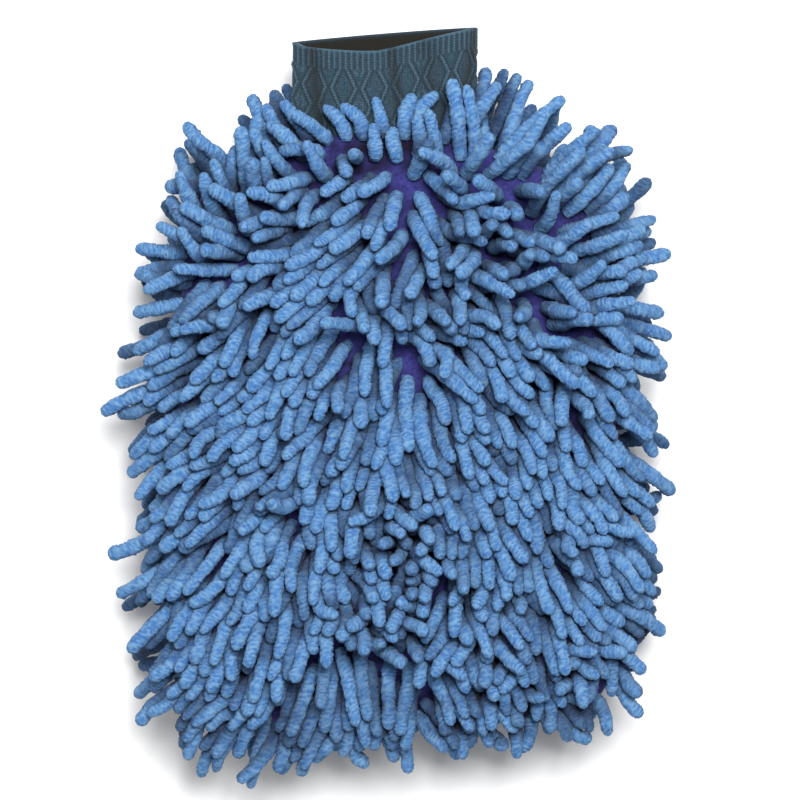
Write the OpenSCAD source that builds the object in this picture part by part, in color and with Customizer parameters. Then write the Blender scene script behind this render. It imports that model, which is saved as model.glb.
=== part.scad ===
// Chenille wash mitt: a cloth bag covered in soft noodles, with a loose lining and a knitted cuff.
// Millimetres. The mitt lies on its back: +Z is up, +Y runs to the cuff and +X to its right.
// The origin is under the middle of the mitt, on the surface that it lies on.

/* [Cloth bag] */
// Width of the sewn bag, side seam to side seam
bag_w = 162; // [154:1:166]
// Length of the bag, finger seam to mouth
bag_l = 220; // [216:1:226]
// Height of the puffed bag, both panels together
bag_h = 33; // [32:0.5:38]
// Thickness of the backing cloth that carries the noodles
cloth_t = 1.4; // [1:0.1:1.5]
// Thickness of the lining cloth
lining_t = 0.8; // [0.5:0.1:0.9]
// Radius of the two corners at the finger end
corner_r = 26; // [20:1:32]
// Length over which the shoulders narrow to the mouth
shoulder_l = 70; // [64:1:76]
// Width of the mouth, where the cuff is sewn in
mouth_w = 86; // [84:1:90]

/* [Chenille noodles] */
// Thickness of one noodle
noodle_d = 4.8; // [4.2:0.1:5]
// Length of one noodle, end to end
noodle_l = 25; // [20:1:26]
// Spacing of the noodles along a row of stitching
noodle_pitch = 7.8; // [7.8:0.1:9]
// Spacing of the rows
row_pitch = 6.8; // [6.6:0.1:6.8]
// Number of double rows on each panel
strips = 16; // [10:1:16]
// How far the noodles on the front lean over, as a slope
front_lean = 0.9; // [0.5:0.05:1]
// How far the noodles on the back are pressed over, as a slope
back_lean = 1.3; // [1:0.05:1.3]

/* [Knitted cuff] */
// Flat width of the relaxed cuff
cuff_w = 69; // [64:0.5:70]
// Height of the open cuff over its two layers
cuff_h = 24; // [20:0.5:24]
// Thickness of the knit
knit_t = 1.6; // [1.2:0.1:1.8]
// Length of the cuff, from its sewn edge to the high end of its rim
cuff_l = 43; // [38:1:48]
// Width of the ribbed band at the rim
band_w = 7.5; // [6:0.5:9]
// Slant of the rim, in degrees
rim_slant = 4.6; // [0:0.2:6]
// How far the cuff sits to the left of the middle
cuff_offset = 5; // [0:1:6]

/* [Hidden] */
$fn = 32;

PILE_BLUE = [0.31, 0.47, 0.66];
CLOTH_BLUE = [0.25, 0.26, 0.58];
LINING_GREY = [0.55, 0.6, 0.66];
KNIT_TEAL = [0.24, 0.35, 0.43];
THREAD_BLUE = [0.15, 0.2, 0.4];

half_w = bag_w / 2;
half_h = bag_h / 2;
mouth_half = mouth_w / 2;
shoulder_y = bag_l - shoulder_l;
end_run = 45;                    // length over which the finger end puffs up
section_power = 2.4;             // 2 is an ellipse, more is flatter
seam_half = 0.9;                 // half the gap between the panels, which the side seam fills
seam_width = 6;                  // how far the side seam reaches into the bag
seam_inset = 0.3;                // the side seam stops this far inside the panels' edges
seam_gap = 0.1;                  // between the side seam and each panel
least_height = 0.05;             // keeps an inset section from folding through itself
lining_gap = 0.3;                // between cloth and lining
lining_end = bag_l - 9;          // the lining stops short of the cuff seam

noodle_r = noodle_d / 2;
noodle_run = noodle_l - noodle_d;
root_lift = noodle_r + 0.1;      // the round root just clears the cloth
edge_clear = noodle_r + 0.9;     // keeps front and back noodles apart at the side seam
first_row = 4.5;                 // first row's distance from the finger seam
parting_y = 172;                 // the front noodles part here, towards the cuff and away
parting_run = 60;                // length over which they lean over from upright
cuff_lean = 0.5;                 // steepest slope of the front noodles towards the cuff
front_spread = 0.5;              // sideways slope of the outermost noodles on the front
back_spread = 0.3;               // the same on the back
slope_step = 0.4;                // distance over which a slope of the skin is measured

cuff_y = bag_l - 3;              // the cuff's sewn edge, and the axis that it tilts about
rim_y = cuff_y + cuff_l;
ring_gap = 1.2;                  // between the cuff and the seam ring round it
ring_t = 1;                      // thickness of the seam ring
ring_l = 4.5;                    // length of the seam ring
ring_past = 0.5;                 // how far the ring reaches past the cuff's sewn edge
fold_wall = 1.6;                 // a tube's wall at its folds, as a multiple of its thickness
band_extra = 0.3;                // the band stands this proud of the knit, inside and out
channel_t = 1;                   // thickness of the channel that the elastic runs in
channel_l = 5;                   // its length
elastic_gap = 0.1;               // between the elastic and its channel
band_wall = (knit_t + 2 * band_extra - channel_t) / 2;
allowance = 1.6;                 // width and height of the knit's own seam allowance
allowance_in = 6.5;              // how far that allowance lies inside the right-hand fold
allowance_end = 3;               // how much shorter than the cuff it is
overcut = 1;                     // cutting shapes reach this far past what they cut

stitch_d = 0.6;
stitch_pitch = 4;
seam_thread_gap = 0.4;           // between the side seam's raw edge and its threads
ring_thread_gap = 0.1;           // between the seam ring and its threads
ring_thread_in = 0.5;            // the ring's threads stop this far inside its two edges
ring_thread_edge = 3;            // angle left free of threads at each fold of the ring

function strip_name(side, i) = str(side, "_pile_", i < 10 ? "0" : "", i);

// --- Shape of the bag --------------------------------------------------------
// Stations run along Y from the finger seam, 0, to the mouth, bag_l. Z is 0 at the side seam.

function half_width(y) =
    y < corner_r ? half_w - corner_r + sqrt(max(0, corner_r ^ 2 - (corner_r - y) ^ 2)) :
    y < shoulder_y ? half_w :
    mouth_half + (half_w - mouth_half) * sqrt(max(0, 1 - ((y - shoulder_y) / shoulder_l) ^ 2));

function half_height(y) =
    cloth_t + (half_h - cloth_t) * sin(90 * min(1, max(0, y) / end_run)) ^ 0.8;

// The bag leans towards the cuff's side over its shoulders
function centre_x(y) = -cuff_offset * (max(0, y - shoulder_y) / shoulder_l) ^ 2;

function signed_power(v, p) = sign(v) * abs(v) ^ p;

// Point of the bag's section at station y, inset from the skin, at angle t from +X to +Z
function section(y, t, inset = 0) = [
    centre_x(y) + (half_width(y) - inset) * signed_power(cos(t), 2 / section_power),
    y,
    max(least_height, half_height(y) - inset) * signed_power(sin(t), 2 / section_power) + seam_half
];

function unit(v) = v / norm(v);

// Outward direction of the skin at station y and angle t
function normal(y, t) = unit(cross(
    section(y + slope_step, t) - section(y - slope_step, t),
    section(y, t + 1) - section(y, t - 1)));

// Stations of a loft, close together round the corners and the shoulders
function stations(n) = concat(
    [for (i = [0:n - 1]) corner_r * (1 - cos(90 * i / n))],
    [for (i = [0:n - 1]) corner_r + (shoulder_y - corner_r) * i / n],
    [for (i = [0:n]) shoulder_y + shoulder_l * sin(90 * i / n)]
);

// --- Noodles -----------------------------------------------------------------
// Each is [root, direction], on the front panel; the back panel's are mirrored in Z.

ARC_STEPS = 60;

// Lengths along a line of points, from its start to each point
function lengths(points, i = 1, so_far = [0]) =
    i >= len(points) ? so_far :
    lengths(points, i + 1, concat(so_far, [so_far[i - 1] + norm(points[i] - points[i - 1])]));

// Angles of one row's noodles: evenly spaced over the cloth, and staggered from row to row
function row_angles(j) = let (
    y = first_row + j * row_pitch,
    angles = [for (i = [0:ARC_STEPS]) 180 * i / ARC_STEPS],
    arc = lengths([for (t = angles) section(y, t)]),
    middle = arc[ARC_STEPS] / 2,
    stagger = j % 2 * noodle_pitch / 2,
    most = ceil(middle / noodle_pitch),
    angle_at = [for (i = [0:ARC_STEPS]) [arc[i], angles[i]]]
) [
    for (i = [-most:most])
        let (s = middle + i * noodle_pitch + stagger, t = lookup(s, angle_at))
            if (s > 0 && s < 2 * middle && section(y, t).z > edge_clear) t
];

// The slope that the noodles at point p are brushed to, before it is laid along the cloth
function brushed(side, p) = side == "front"
    ? [
        front_spread * p.x / half_w,
        max(-front_lean, min(cuff_lean, (p.y - parting_y) / parting_run)),
        0
    ]
    : [back_spread * p.x / half_w, -back_lean, 0];

function row(side, j) = let (y = first_row + j * row_pitch) [
    for (t = row_angles(j)) let (
        p = section(y, t),
        n = normal(y, t),
        lean = brushed(side, p)
    ) [p + root_lift * n, unit(n + lean - (lean * n) * n)]
];

function strip(side, i) = concat(row(side, 2 * i - 2), row(side, 2 * i - 1));

// How far the noodles of one panel reach along the unit vector v
function reach(side, v) = noodle_r + max([
    for (i = [1:strips], n = strip(side, i)) n[0] * v + max(0, noodle_run * n[1] * v)
]);

rest_z = reach("back", [0, 0, 1]);
finger_tip_y = -max(reach("front", [0, -1, 0]), reach("back", [0, -1, 0]));
middle_y = (rim_y + finger_tip_y) / 2;

// Puts a piece drawn at its station into the mitt's own frame
module placed() {
    translate([0, -middle_y, rest_z]) children();
}

module on_side(side) {
    placed() mirror([0, 0, side == "front" ? 0 : 1]) children();
}

module noodle() {
    cylinder(r = noodle_r, h = noodle_run);
    for (z = [0, noodle_run]) translate([0, 0, z]) sphere(noodle_r);
}

module pile_strip(side, i) {
    color(PILE_BLUE) on_side(side)
        for (n = strip(side, i))
            translate(n[0]) rotate([0, acos(n[1].z), atan2(n[1].y, n[1].x)]) noodle();
}

// --- Cloth and lining --------------------------------------------------------

// A puffed panel between two insets from the skin, from the finger seam to station y_end
module panel(side, outer, inner, y_end, steps, slices) {
    ys = concat([for (y = stations(steps)) if (y < y_end) max(y, outer)], [y_end]);
    points = [for (inset = [outer, inner], y = ys, i = [0:slices])
        section(y, 180 * i / slices, inset)];
    wide = slices + 1;
    last = len(ys) - 1;
    far = len(ys) * wide;        // index of the first inner point
    skin = [for (r = [0:last - 1], i = [0:slices - 1])
        [r * wide + i, r * wide + i + 1, (r + 1) * wide + i + 1, (r + 1) * wide + i]];
    hollow = [for (q = skin) [for (k = [3:-1:0]) far + q[k]]];
    right = [for (r = [0:last - 1])
        [r * wide, (r + 1) * wide, far + (r + 1) * wide, far + r * wide]];
    left = [for (r = [0:last - 1]) let (a = r * wide + slices, b = a + wide)
        [a, far + a, far + b, b]];
    finger = [for (i = [0:slices - 1]) [i, far + i, far + i + 1, i + 1]];
    mouth = [for (q = finger) [for (k = [3:-1:0]) last * wide + q[k]]];
    quads = concat(skin, hollow, right, left, finger, mouth);
    on_side(side) polyhedron(
        points, [for (q = quads) each [[q[0], q[1], q[2]], [q[0], q[2], q[3]]]]);
}

module cloth(side) {
    color(CLOTH_BLUE) panel(side, 0, cloth_t, bag_l, 10, 28);
}

module lining(side) {
    outer = cloth_t + lining_gap;
    color(LINING_GREY) panel(side, outer, outer + lining_t, lining_end, 7, 20);
}

// --- Side seam ---------------------------------------------------------------

// One side of the bag's outline, inset from its edge, from the finger end up
function outline(side, inset) = [
    for (y = stations(16))
        if (y < lining_end) [centre_x(y) + side * (half_width(y) - inset), max(y, inset)]
];

// How many times further apart than square across two lines along the outline are, along X
function slanting(y) =
    norm([1, (half_width(y + slope_step) - half_width(y - slope_step)) / (2 * slope_step)]);

function reversed(list) = [for (i = [len(list) - 1:-1:0]) list[i]];

// The overlocked edges of both panels, turned into the bag
module side_seam() {
    color(CLOTH_BLUE) placed()
        translate([0, 0, seam_gap - seam_half]) linear_extrude(2 * (seam_half - seam_gap))
            polygon(concat(
                reversed(outline(1, seam_inset)), outline(-1, seam_inset),
                reversed(outline(-1, seam_width)), outline(1, seam_width)));
}

// Overlock threads, wrapped over the seam's raw edge
module side_seam_stitches() {
    height = 2 * (seam_half - seam_gap);
    away = stitch_d / 2 + seam_thread_gap;
    color(THREAD_BLUE) placed()
        for (side = [-1, 1], y = [corner_r:stitch_pitch:lining_end - stitch_pitch]) {
            x = half_width(y) - seam_width - away * slanting(y);
            translate([centre_x(y) + side * x, y, -height / 2])
                cylinder(d = stitch_d, h = height);
        }
}

// --- Cuff --------------------------------------------------------------------

// A tube's solid core, along +Y from y0 to y1: two shallow arcs that meet at its edges
module lens(half_width, half_height, y0, y1) {
    radius = (half_width ^ 2 + half_height ^ 2) / (2 * half_height);
    translate([-cuff_offset, y0, 0]) rotate([-90, 0, 0])
        intersection_for (up = [-1, 1])
            translate([0, up * (radius - half_height), 0])
                cylinder(r = radius, h = y1 - y0, $fn = 96);
}

// A lens tube, grown outwards from the cuff's outer surface and with its own thickness
module tube(grow, thickness, y0, y1) {
    difference() {
        lens(cuff_w / 2 + grow, cuff_h / 2 + grow, y0, y1);
        lens(
            cuff_w / 2 + grow - fold_wall * thickness, cuff_h / 2 + grow - thickness,
            y0 - overcut, y1 + overcut);
    }
}

// Everything beyond the slanted line that passes under the rim by drop, for cutting with
module past_rim(drop) {
    size = 3 * cuff_w;
    translate([cuff_w / 2 - cuff_offset, rim_y - drop, -size / 2])
        rotate([0, 0, rim_slant]) translate([-size, 0, 0]) cube([2 * size, size, size]);
}

// The stretch of a tube between two distances under the slanted rim
module under_rim(drop_from, drop_to) {
    difference() {
        intersection() {
            children();
            past_rim(drop_to);
        }
        past_rim(drop_from);
    }
}

module cuff_knit() {
    color(KNIT_TEAL) placed() difference() {
        tube(0, knit_t, cuff_y, rim_y);
        past_rim(band_w);
    }
}

module cuff_band() {
    color(KNIT_TEAL) placed() difference() {
        under_rim(0, band_w) tube(band_extra, knit_t + 2 * band_extra, cuff_y, rim_y + overcut);
        under_rim((band_w - channel_l) / 2, (band_w + channel_l) / 2)
            tube(band_extra - band_wall, channel_t, cuff_y, rim_y);
    }
}

module cuff_elastic() {
    grow = band_extra - band_wall - elastic_gap;
    color("white") placed()
        under_rim((band_w - channel_l) / 2 + elastic_gap, (band_w + channel_l) / 2 - elastic_gap)
            tube(grow, channel_t - 2 * elastic_gap, cuff_y, rim_y);
}

// Seam allowance of the knit, inside its right-hand fold
module cuff_side_seam() {
    color(KNIT_TEAL) placed() difference() {
        translate([cuff_w / 2 - cuff_offset - allowance_in, cuff_y + ring_past, -allowance / 2])
            cube([allowance, cuff_l - allowance_end, allowance]);
        past_rim(overcut);
    }
}

// Ring of sewn edges round the cuff, inside the bag's mouth
module cuff_seam() {
    color(CLOTH_BLUE) placed()
        tube(ring_gap + ring_t, ring_t, cuff_y + ring_past - ring_l, cuff_y + ring_past);
}

// Threads over the seam ring, evenly spaced along both of its arcs
module cuff_seam_stitches() {
    wide = cuff_w / 2 + ring_gap + ring_t;
    high = cuff_h / 2 + ring_gap + ring_t;
    radius = (wide ^ 2 + high ^ 2) / (2 * high);
    lift = radius + stitch_d / 2 + ring_thread_gap;
    end_angle = asin(wide / radius) - ring_thread_edge;
    count = floor(end_angle / asin(stitch_pitch / radius));
    color(THREAD_BLUE) placed()
        for (up = [-1, 1], i = [-count:count]) {
            t = i * end_angle / count;
            translate([
                lift * sin(t) - cuff_offset,
                cuff_y + ring_past - ring_l + ring_thread_in,
                up * (lift * cos(t) - radius + high)
            ]) rotate([-90, 0, 0])
                cylinder(d = stitch_d, h = ring_l - 2 * ring_thread_in);
        }
}

// --- Pieces ------------------------------------------------------------------

cloth("front");  // front_cloth
cloth("back");  // back_cloth
lining("front");  // front_lining
lining("back");  // back_lining
side_seam();
side_seam_stitches();
cuff_seam();
cuff_seam_stitches();
cuff_knit();
cuff_band();
cuff_elastic();
cuff_side_seam();
for (side = ["front", "back"], i = [1:strips])
    pile_strip(side, i);
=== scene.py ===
"""Chenille wash mitt: pile, knitted cuff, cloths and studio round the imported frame.

The mitt lies on its back on the floor. Lengths are metres, +Z is up, +Y runs to the cuff and
+X to the mitt's right. Every noodle is relaxed against its neighbours, the cloth, the cuff and
the floor by a small position-based solver before its chenille surface is built.
"""

from __future__ import annotations

import itertools
import logging
import math
from dataclasses import dataclass, field
from enum import Enum

import bpy
import numpy as np
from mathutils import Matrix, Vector
from mathutils.kdtree import KDTree


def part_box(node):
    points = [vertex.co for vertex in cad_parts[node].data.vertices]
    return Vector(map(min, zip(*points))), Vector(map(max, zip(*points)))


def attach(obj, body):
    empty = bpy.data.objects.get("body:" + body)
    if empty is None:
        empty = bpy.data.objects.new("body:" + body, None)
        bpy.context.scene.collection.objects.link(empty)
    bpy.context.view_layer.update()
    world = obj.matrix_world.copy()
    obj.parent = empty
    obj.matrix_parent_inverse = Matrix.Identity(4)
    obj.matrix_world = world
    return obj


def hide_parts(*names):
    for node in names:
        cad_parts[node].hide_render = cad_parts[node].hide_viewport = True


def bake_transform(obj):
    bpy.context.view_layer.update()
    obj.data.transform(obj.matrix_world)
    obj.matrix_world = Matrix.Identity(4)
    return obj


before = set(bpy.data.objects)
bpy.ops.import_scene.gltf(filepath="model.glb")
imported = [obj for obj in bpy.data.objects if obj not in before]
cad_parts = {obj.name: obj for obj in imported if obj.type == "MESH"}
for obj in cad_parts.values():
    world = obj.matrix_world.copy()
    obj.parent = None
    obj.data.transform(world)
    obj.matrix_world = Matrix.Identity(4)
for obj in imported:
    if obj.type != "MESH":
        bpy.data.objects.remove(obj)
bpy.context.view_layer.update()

LOG = logging.getLogger("wash_mitt")
MM = 0.001
UP = np.array([0.0, 0.0, 1.0])
ALONG = np.array([0.0, 1.0, 0.0])
FIRST_ROW = 4.0 * MM
ROW_PITCH = 6.7 * MM

Array = np.ndarray
Random = np.random.Generator
Material = bpy.types.Material
Socket = bpy.types.NodeSocket
Colour = tuple[float, float, float, float]


class Side(Enum):
    """The two panels of the mitt, with the way that each faces."""

    FRONT = 1
    BACK = -1

    @property
    def label(self) -> str:
        """Name that the frame's nodes use for this panel."""
        return self.name.lower()


# --- Small helpers ---


def unit(vectors: Array) -> Array:
    """Scale vectors to length one.

    Args:
        vectors: Array whose last axis holds the components.

    Returns:
        The same array with each vector at unit length.
    """
    length = np.linalg.norm(vectors, axis=-1, keepdims=True)
    return vectors / np.maximum(length, 1e-12)


def smooth(value: Array) -> Array:
    """Ease a value from 0 to 1, clamped at both ends."""
    t = np.clip(value, 0.0, 1.0)
    return t * t * (3.0 - 2.0 * t)


def srgb(red: int, green: int, blue: int) -> Colour:
    """Turn an 8-bit display colour into a linear one.

    Args:
        red: Red from 0 to 255.
        green: Green from 0 to 255.
        blue: Blue from 0 to 255.

    Returns:
        Linear red, green, blue and an alpha of one.
    """

    def channel(value: int) -> float:
        """Turn one channel linear."""
        v = value / 255.0
        return v / 12.92 if v <= 0.04045 else ((v + 0.055) / 1.055) ** 2.4

    return channel(red), channel(green), channel(blue), 1.0


@dataclass
class MeshParts:
    """Points, quads and point values gathered for one mesh."""

    points: list[Array] = field(default_factory=list)
    quads: list[Array] = field(default_factory=list)
    values: dict[str, list[Array]] = field(default_factory=dict)
    count: int = 0

    def add(self, points: Array, quads: Array, **values: Array) -> None:
        """Append a patch of points and quads.

        Args:
            points: Coordinates, one row each.
            quads: Four point numbers a row, counted within this patch.
            **values: One number per point for each named attribute.
        """
        self.points.append(points)
        self.quads.append(quads + self.count)
        for name, numbers in values.items():
            self.values.setdefault(name, []).append(numbers)
        self.count += len(points)

    def add_plain(self, points: Array, quads: Array, value: float) -> None:
        """Append a patch whose depth (painted light), tint and pile (painted highlight) values are all
        the same.
        """
        blank = np.full(len(points), value)
        self.add(points, quads, depth=blank, tint=blank, pile=blank)

    def join_rings(self, first: int, second: int, columns: int, flip: bool) -> None:
        """Close the gap between two rings of points.

        Args:
            first: Number of the first ring's first point.
            second: Number of the second ring's first point.
            columns: Points in a ring.
            flip: Whether the faces turn the other way.
        """
        turn = np.arange(columns)
        ahead = (turn + 1) % columns
        quads = np.stack([first + turn, first + ahead, second + ahead, second + turn], axis=-1)
        self.quads.append(quads[:, ::-1] if flip else quads)

    def join_borders(self, rows: int, columns: int, flip: bool) -> None:
        """Join the borders of a sheet's two faces, which are all that the mesh holds.

        Args:
            rows: Rows of points in a face.
            columns: Points in a row.
            flip: Whether the joining faces turn the other way.
        """
        numbers = np.arange(rows * columns).reshape(rows, columns)
        border = np.concatenate(
            [numbers[0, :-1], numbers[:-1, -1], numbers[-1, :0:-1], numbers[:0:-1, 0]]
        )
        following = np.roll(border, -1)
        far = rows * columns
        quads = np.stack([border, following, following + far, border + far], axis=-1)
        self.quads.append(quads[:, ::-1] if flip else quads)

    def build(self, name: str) -> bpy.types.Object:
        """Make a smooth-shaded mesh object of everything gathered.

        Args:
            name: Name of the new piece.

        Returns:
            The linked object.
        """
        points = np.concatenate(self.points).astype(np.float32)
        quads = np.concatenate(self.quads).astype(np.int32)
        mesh = bpy.data.meshes.new(name)
        mesh.vertices.add(len(points))
        mesh.vertices.foreach_set("co", points.ravel())
        mesh.loops.add(quads.size)
        mesh.loops.foreach_set("vertex_index", quads.ravel())
        mesh.polygons.add(len(quads))
        mesh.polygons.foreach_set("loop_start", np.arange(0, quads.size, 4, dtype=np.int32))
        mesh.polygons.foreach_set("use_smooth", np.ones(len(quads), dtype=bool))
        mesh.update(calc_edges=True)
        for key, arrays in self.values.items():
            layer = mesh.attributes.new(key, "FLOAT", "POINT")
            layer.data.foreach_set("value", np.concatenate(arrays).astype(np.float32))
        mesh.validate()
        piece = bpy.data.objects.new(name, mesh)
        bpy.context.scene.collection.objects.link(piece)
        return piece

    def install(self, name: str, node: str, material: Material, slot: str) -> bpy.types.Object:
        """Make a dressed piece that takes the place of a node of the frame.

        Args:
            name: Name of the new piece.
            node: The node.
            material: Its one material.
            slot: The record's slot for that material. It is not used.

        Returns:
            The linked object.
        """
        piece = self.build(name)
        piece.data.materials.append(material)
        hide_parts(node)
        LOG.info("%s built, %d faces", name, len(piece.data.polygons))
        return piece


def grid_quads(rows: int, columns: int, wrap: bool = False, flip: bool = False) -> Array:
    """List the quads of a grid of points laid out row by row.

    Args:
        rows: Number of rows of points.
        columns: Points in a row.
        wrap: Whether the last column joins the first.
        flip: Whether the faces turn the other way.

    Returns:
        Four point numbers a row.
    """
    across = columns if wrap else columns - 1
    r, c = np.meshgrid(np.arange(rows - 1), np.arange(across), indexing="ij")
    a = r * columns + c
    b = r * columns + (c + 1) % columns
    quads = np.stack([a, b, b + columns, a + columns], axis=-1).reshape(-1, 4)
    return quads[:, ::-1] if flip else quads


def run_along(points: Array) -> Array:
    """Distance along a line of points, from the first to each."""
    return np.concatenate([[0.0], np.cumsum(np.linalg.norm(np.diff(points, axis=0), axis=1))])


def carried_normals(tangent: Array) -> Array:
    """Carry a sideways direction along each line without twisting it.

    Args:
        tangent: Unit tangents, by line, place and axis.

    Returns:
        Unit directions square to them.
    """
    first = np.cross(tangent[:, 0], np.array([0.31, 0.87, 0.38]))
    side_way = [unit(first)]
    for i in range(1, tangent.shape[1]):
        last = side_way[-1]
        flat = last - (last * tangent[:, i]).sum(-1, keepdims=True) * tangent[:, i]
        side_way.append(unit(flat))
    return np.stack(side_way, axis=1)


def skin_points(middle: Array, tangent: Array, spread: Array, angle: Array) -> Array:
    """Points round lines, such as a noodle's or a thread's.

    Args:
        middle: Points of the lines, by line, place and axis.
        tangent: Unit tangents there.
        spread: Distance from the line at each angle.
        angle: The angles.

    Returns:
        Coordinates by line, place and angle.
    """
    side_way = carried_normals(tangent)
    other_way = np.cross(tangent, side_way)
    return (
        middle[:, :, None]
        + (spread * np.cos(angle))[..., None] * side_way[:, :, None]
        + (spread * np.sin(angle))[..., None] * other_way[:, :, None]
    )


def add_cord(parts: MeshParts, path: Array, radius: Array, sides: int) -> None:
    """Add a round cord along a path, with rounded ends.

    Args:
        parts: Mesh that the cord is added to.
        path: Points along its middle.
        radius: Radius at each point.
        sides: Facets round it.
    """
    radius = radius.copy()
    radius[[0, -1]] *= 0.15
    radius[[1, -2]] *= 0.75
    angle = np.arange(sides) * 2 * np.pi / sides
    tangent = unit(np.gradient(path, axis=0))
    points = skin_points(path[None], tangent[None], radius[None, :, None], angle)[0]
    # A fixed painted light: part painted shade and highlight where the material reads it.
    parts.add_plain(points.reshape(-1, 3), grid_quads(len(path), sides, wrap=True), 0.6)


def bend_with_cuff(piece: bpy.types.Object) -> None:
    """Bake a piece's placement into its mesh; it is put on no body and does not bend."""
    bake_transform(piece)


# --- The bag ---


@dataclass(frozen=True)
class BagShape:
    """The puffed cloth bag that the pile grows from, in the frame's own place.

    Stations run along +Y from the finger seam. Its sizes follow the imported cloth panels.

    Attributes:
        finger_y: Where the finger seam is.
        length: Length of the panels.
        mid_z: Height of the side seam.
        half_width: Half-width of the panels.
        half_height: Height of a panel's skin above the side seam.
        corner: Radius of the finger corners.
        shoulder: Length in which the panels narrow to the mouth.
        mouth_half: Half-width of the mouth.
        offset: How far to -X the mouth lies.
        end_run: Length in which the bag swells from the finger seam.
        seam_half: Half-thickness that the side seam takes up.
        cloth: Thickness of the cloth.
        power: 2 makes the section an ellipse, and more makes it fuller.
        neck_half_width: Half-width of the gathered neck.
        neck_half_height: Height of the skin above the side seam there.
        neck_run: Length of the neck.
        lip_run: Length of the lip that turns in to the cuff.
        lip_in: How far it turns in.
        thinnest: Least height of the skin.
        end_clear: How near an end distances are still measured.
        probe: Step by which slopes of the skin are measured.
        probe_angle: The same step round the section.
    """

    finger_y: float
    length: float
    mid_z: float
    half_width: float
    half_height: float
    corner: float = 26 * MM
    shoulder: float = 70 * MM
    mouth_half: float = 43 * MM
    offset: float = 5 * MM
    end_run: float = 45 * MM
    seam_half: float = 0.9 * MM
    cloth: float = 1.4 * MM
    power: float = 2.4
    neck_half_width: float = 38.6 * MM
    neck_half_height: float = 15.2 * MM
    neck_run: float = 16 * MM
    lip_run: float = 3.5 * MM
    lip_in: float = 2.0 * MM
    thinnest: float = 0.05 * MM
    end_clear: float = 0.5 * MM
    probe: float = 0.4 * MM
    probe_angle: float = math.radians(1.0)

    @classmethod
    def from_frame(cls) -> "BagShape":
        """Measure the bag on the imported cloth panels."""
        low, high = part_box("front_cloth")
        seam_low, seam_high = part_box("side_seam")
        mid = (seam_low.z + seam_high.z) / 2
        return cls(
            finger_y=low.y,
            length=high.y - low.y,
            mid_z=mid,
            half_width=(high.x - low.x) / 2,
            half_height=high.z - mid - cls.seam_half,
        )

    def widths(self, station: Array) -> Array:
        """Half-width of the bag.

        Args:
            station: Distance from the finger seam.

        Returns:
            One half-width for each station.
        """
        start = self.length - self.shoulder
        end = self.half_width - self.corner + np.sqrt(
            np.clip(self.corner**2 - (self.corner - station) ** 2, 0.0, None)
        )
        narrow = self.mouth_half + (self.half_width - self.mouth_half) * np.sqrt(
            np.clip(1.0 - ((station - start) / self.shoulder) ** 2, 0.0, None)
        )
        wide = np.full_like(station, self.half_width)
        loose = np.where(station < self.corner, end, np.where(station < start, wide, narrow))
        return self._gathered(station, loose, self.neck_half_width)

    def heights(self, station: Array) -> Array:
        """Height of the bag's skin above the side seam.

        Args:
            station: Distance from the finger seam.

        Returns:
            One height for each station.
        """
        rise = np.sin(np.pi / 2 * np.clip(station / self.end_run, 0.0, 1.0)) ** 0.8
        loose = self.cloth + (self.half_height - self.cloth) * rise
        return self._gathered(station, loose, self.neck_half_height)

    def _gathered(self, station: Array, loose: Array, neck: float) -> Array:
        """Draw a size of the bag in to its neck, and its lip in to the cuff.

        Args:
            station: Distance from the finger seam.
            loose: The size before it is gathered.
            neck: The size at the neck.

        Returns:
            The gathered size at each station.
        """
        share = smooth((station - self.length + self.neck_run) / (self.neck_run - self.lip_run))
        lip = smooth((station - self.length + self.lip_run) / self.lip_run)
        return loose + (np.minimum(neck, loose) - loose) * share - self.lip_in * lip

    def centres(self, station: Array) -> Array:
        """Sideways place of the bag's middle at each station."""
        start = self.length - self.shoulder
        return -self.offset * (np.clip(station - start, 0.0, None) / self.shoulder) ** 2

    def section(
        self, station: Array, angle: Array, side: Side, inset: float | Array = 0.0
    ) -> Array:
        """Points on the bag, or inside it.

        Args:
            station: Distance from the finger seam.
            angle: Angle from +X over the panel to -X, in radians.
            side: Panel that the points are on.
            inset: Depth under the skin.

        Returns:
            One row of coordinates for each station and angle.
        """
        station, angle = np.broadcast_arrays(station, angle)
        exponent = 2.0 / self.power
        cos, sin = np.cos(angle), np.clip(np.sin(angle), 0.0, None)
        across = np.sign(cos) * np.abs(cos) ** exponent
        x = self.centres(station) + (self.widths(station) - inset) * across
        height = np.clip(self.heights(station) - inset, self.thinnest, None) * sin**exponent
        z = self.mid_z + side.value * (height + self.seam_half)
        return np.stack([x, self.finger_y + station, z], axis=-1)

    def normals(self, station: Array, angle: Array, side: Side) -> Array:
        """Outward directions of the skin.

        Args:
            station: Distance from the finger seam.
            angle: Angle from +X over the panel to -X, in radians.
            side: Panel that is measured.

        Returns:
            One unit vector for each station and angle.
        """
        step, turn = self.probe, self.probe_angle
        along = self.section(station + step, angle, side) - self.section(station - step, angle, side)
        around = self.section(station, angle + turn, side) - self.section(station, angle - turn, side)
        return side.value * unit(np.cross(along, around))

    def clearance(self, points: Array) -> tuple[Array, Array]:
        """Distance of points from the bag, and the way out.

        Args:
            points: Coordinates, one row each.

        Returns:
            Rough signed distances, large where the bag doesn't reach, and outward directions.
        """
        station = points[:, 1] - self.finger_y
        inside_run = (station > 0.0) & (station < self.length)
        s = np.clip(station, self.end_clear, self.length - self.end_clear)

        def level(at: Array) -> Array:
            """Size of the section through each point, as a share of the bag's."""
            across = np.abs(points[:, 0] - self.centres(at)) / self.widths(at)
            up = np.abs(points[:, 2] - self.mid_z) / (self.heights(at) + self.seam_half)
            return (across**self.power + up**self.power) ** (1.0 / self.power)

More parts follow.
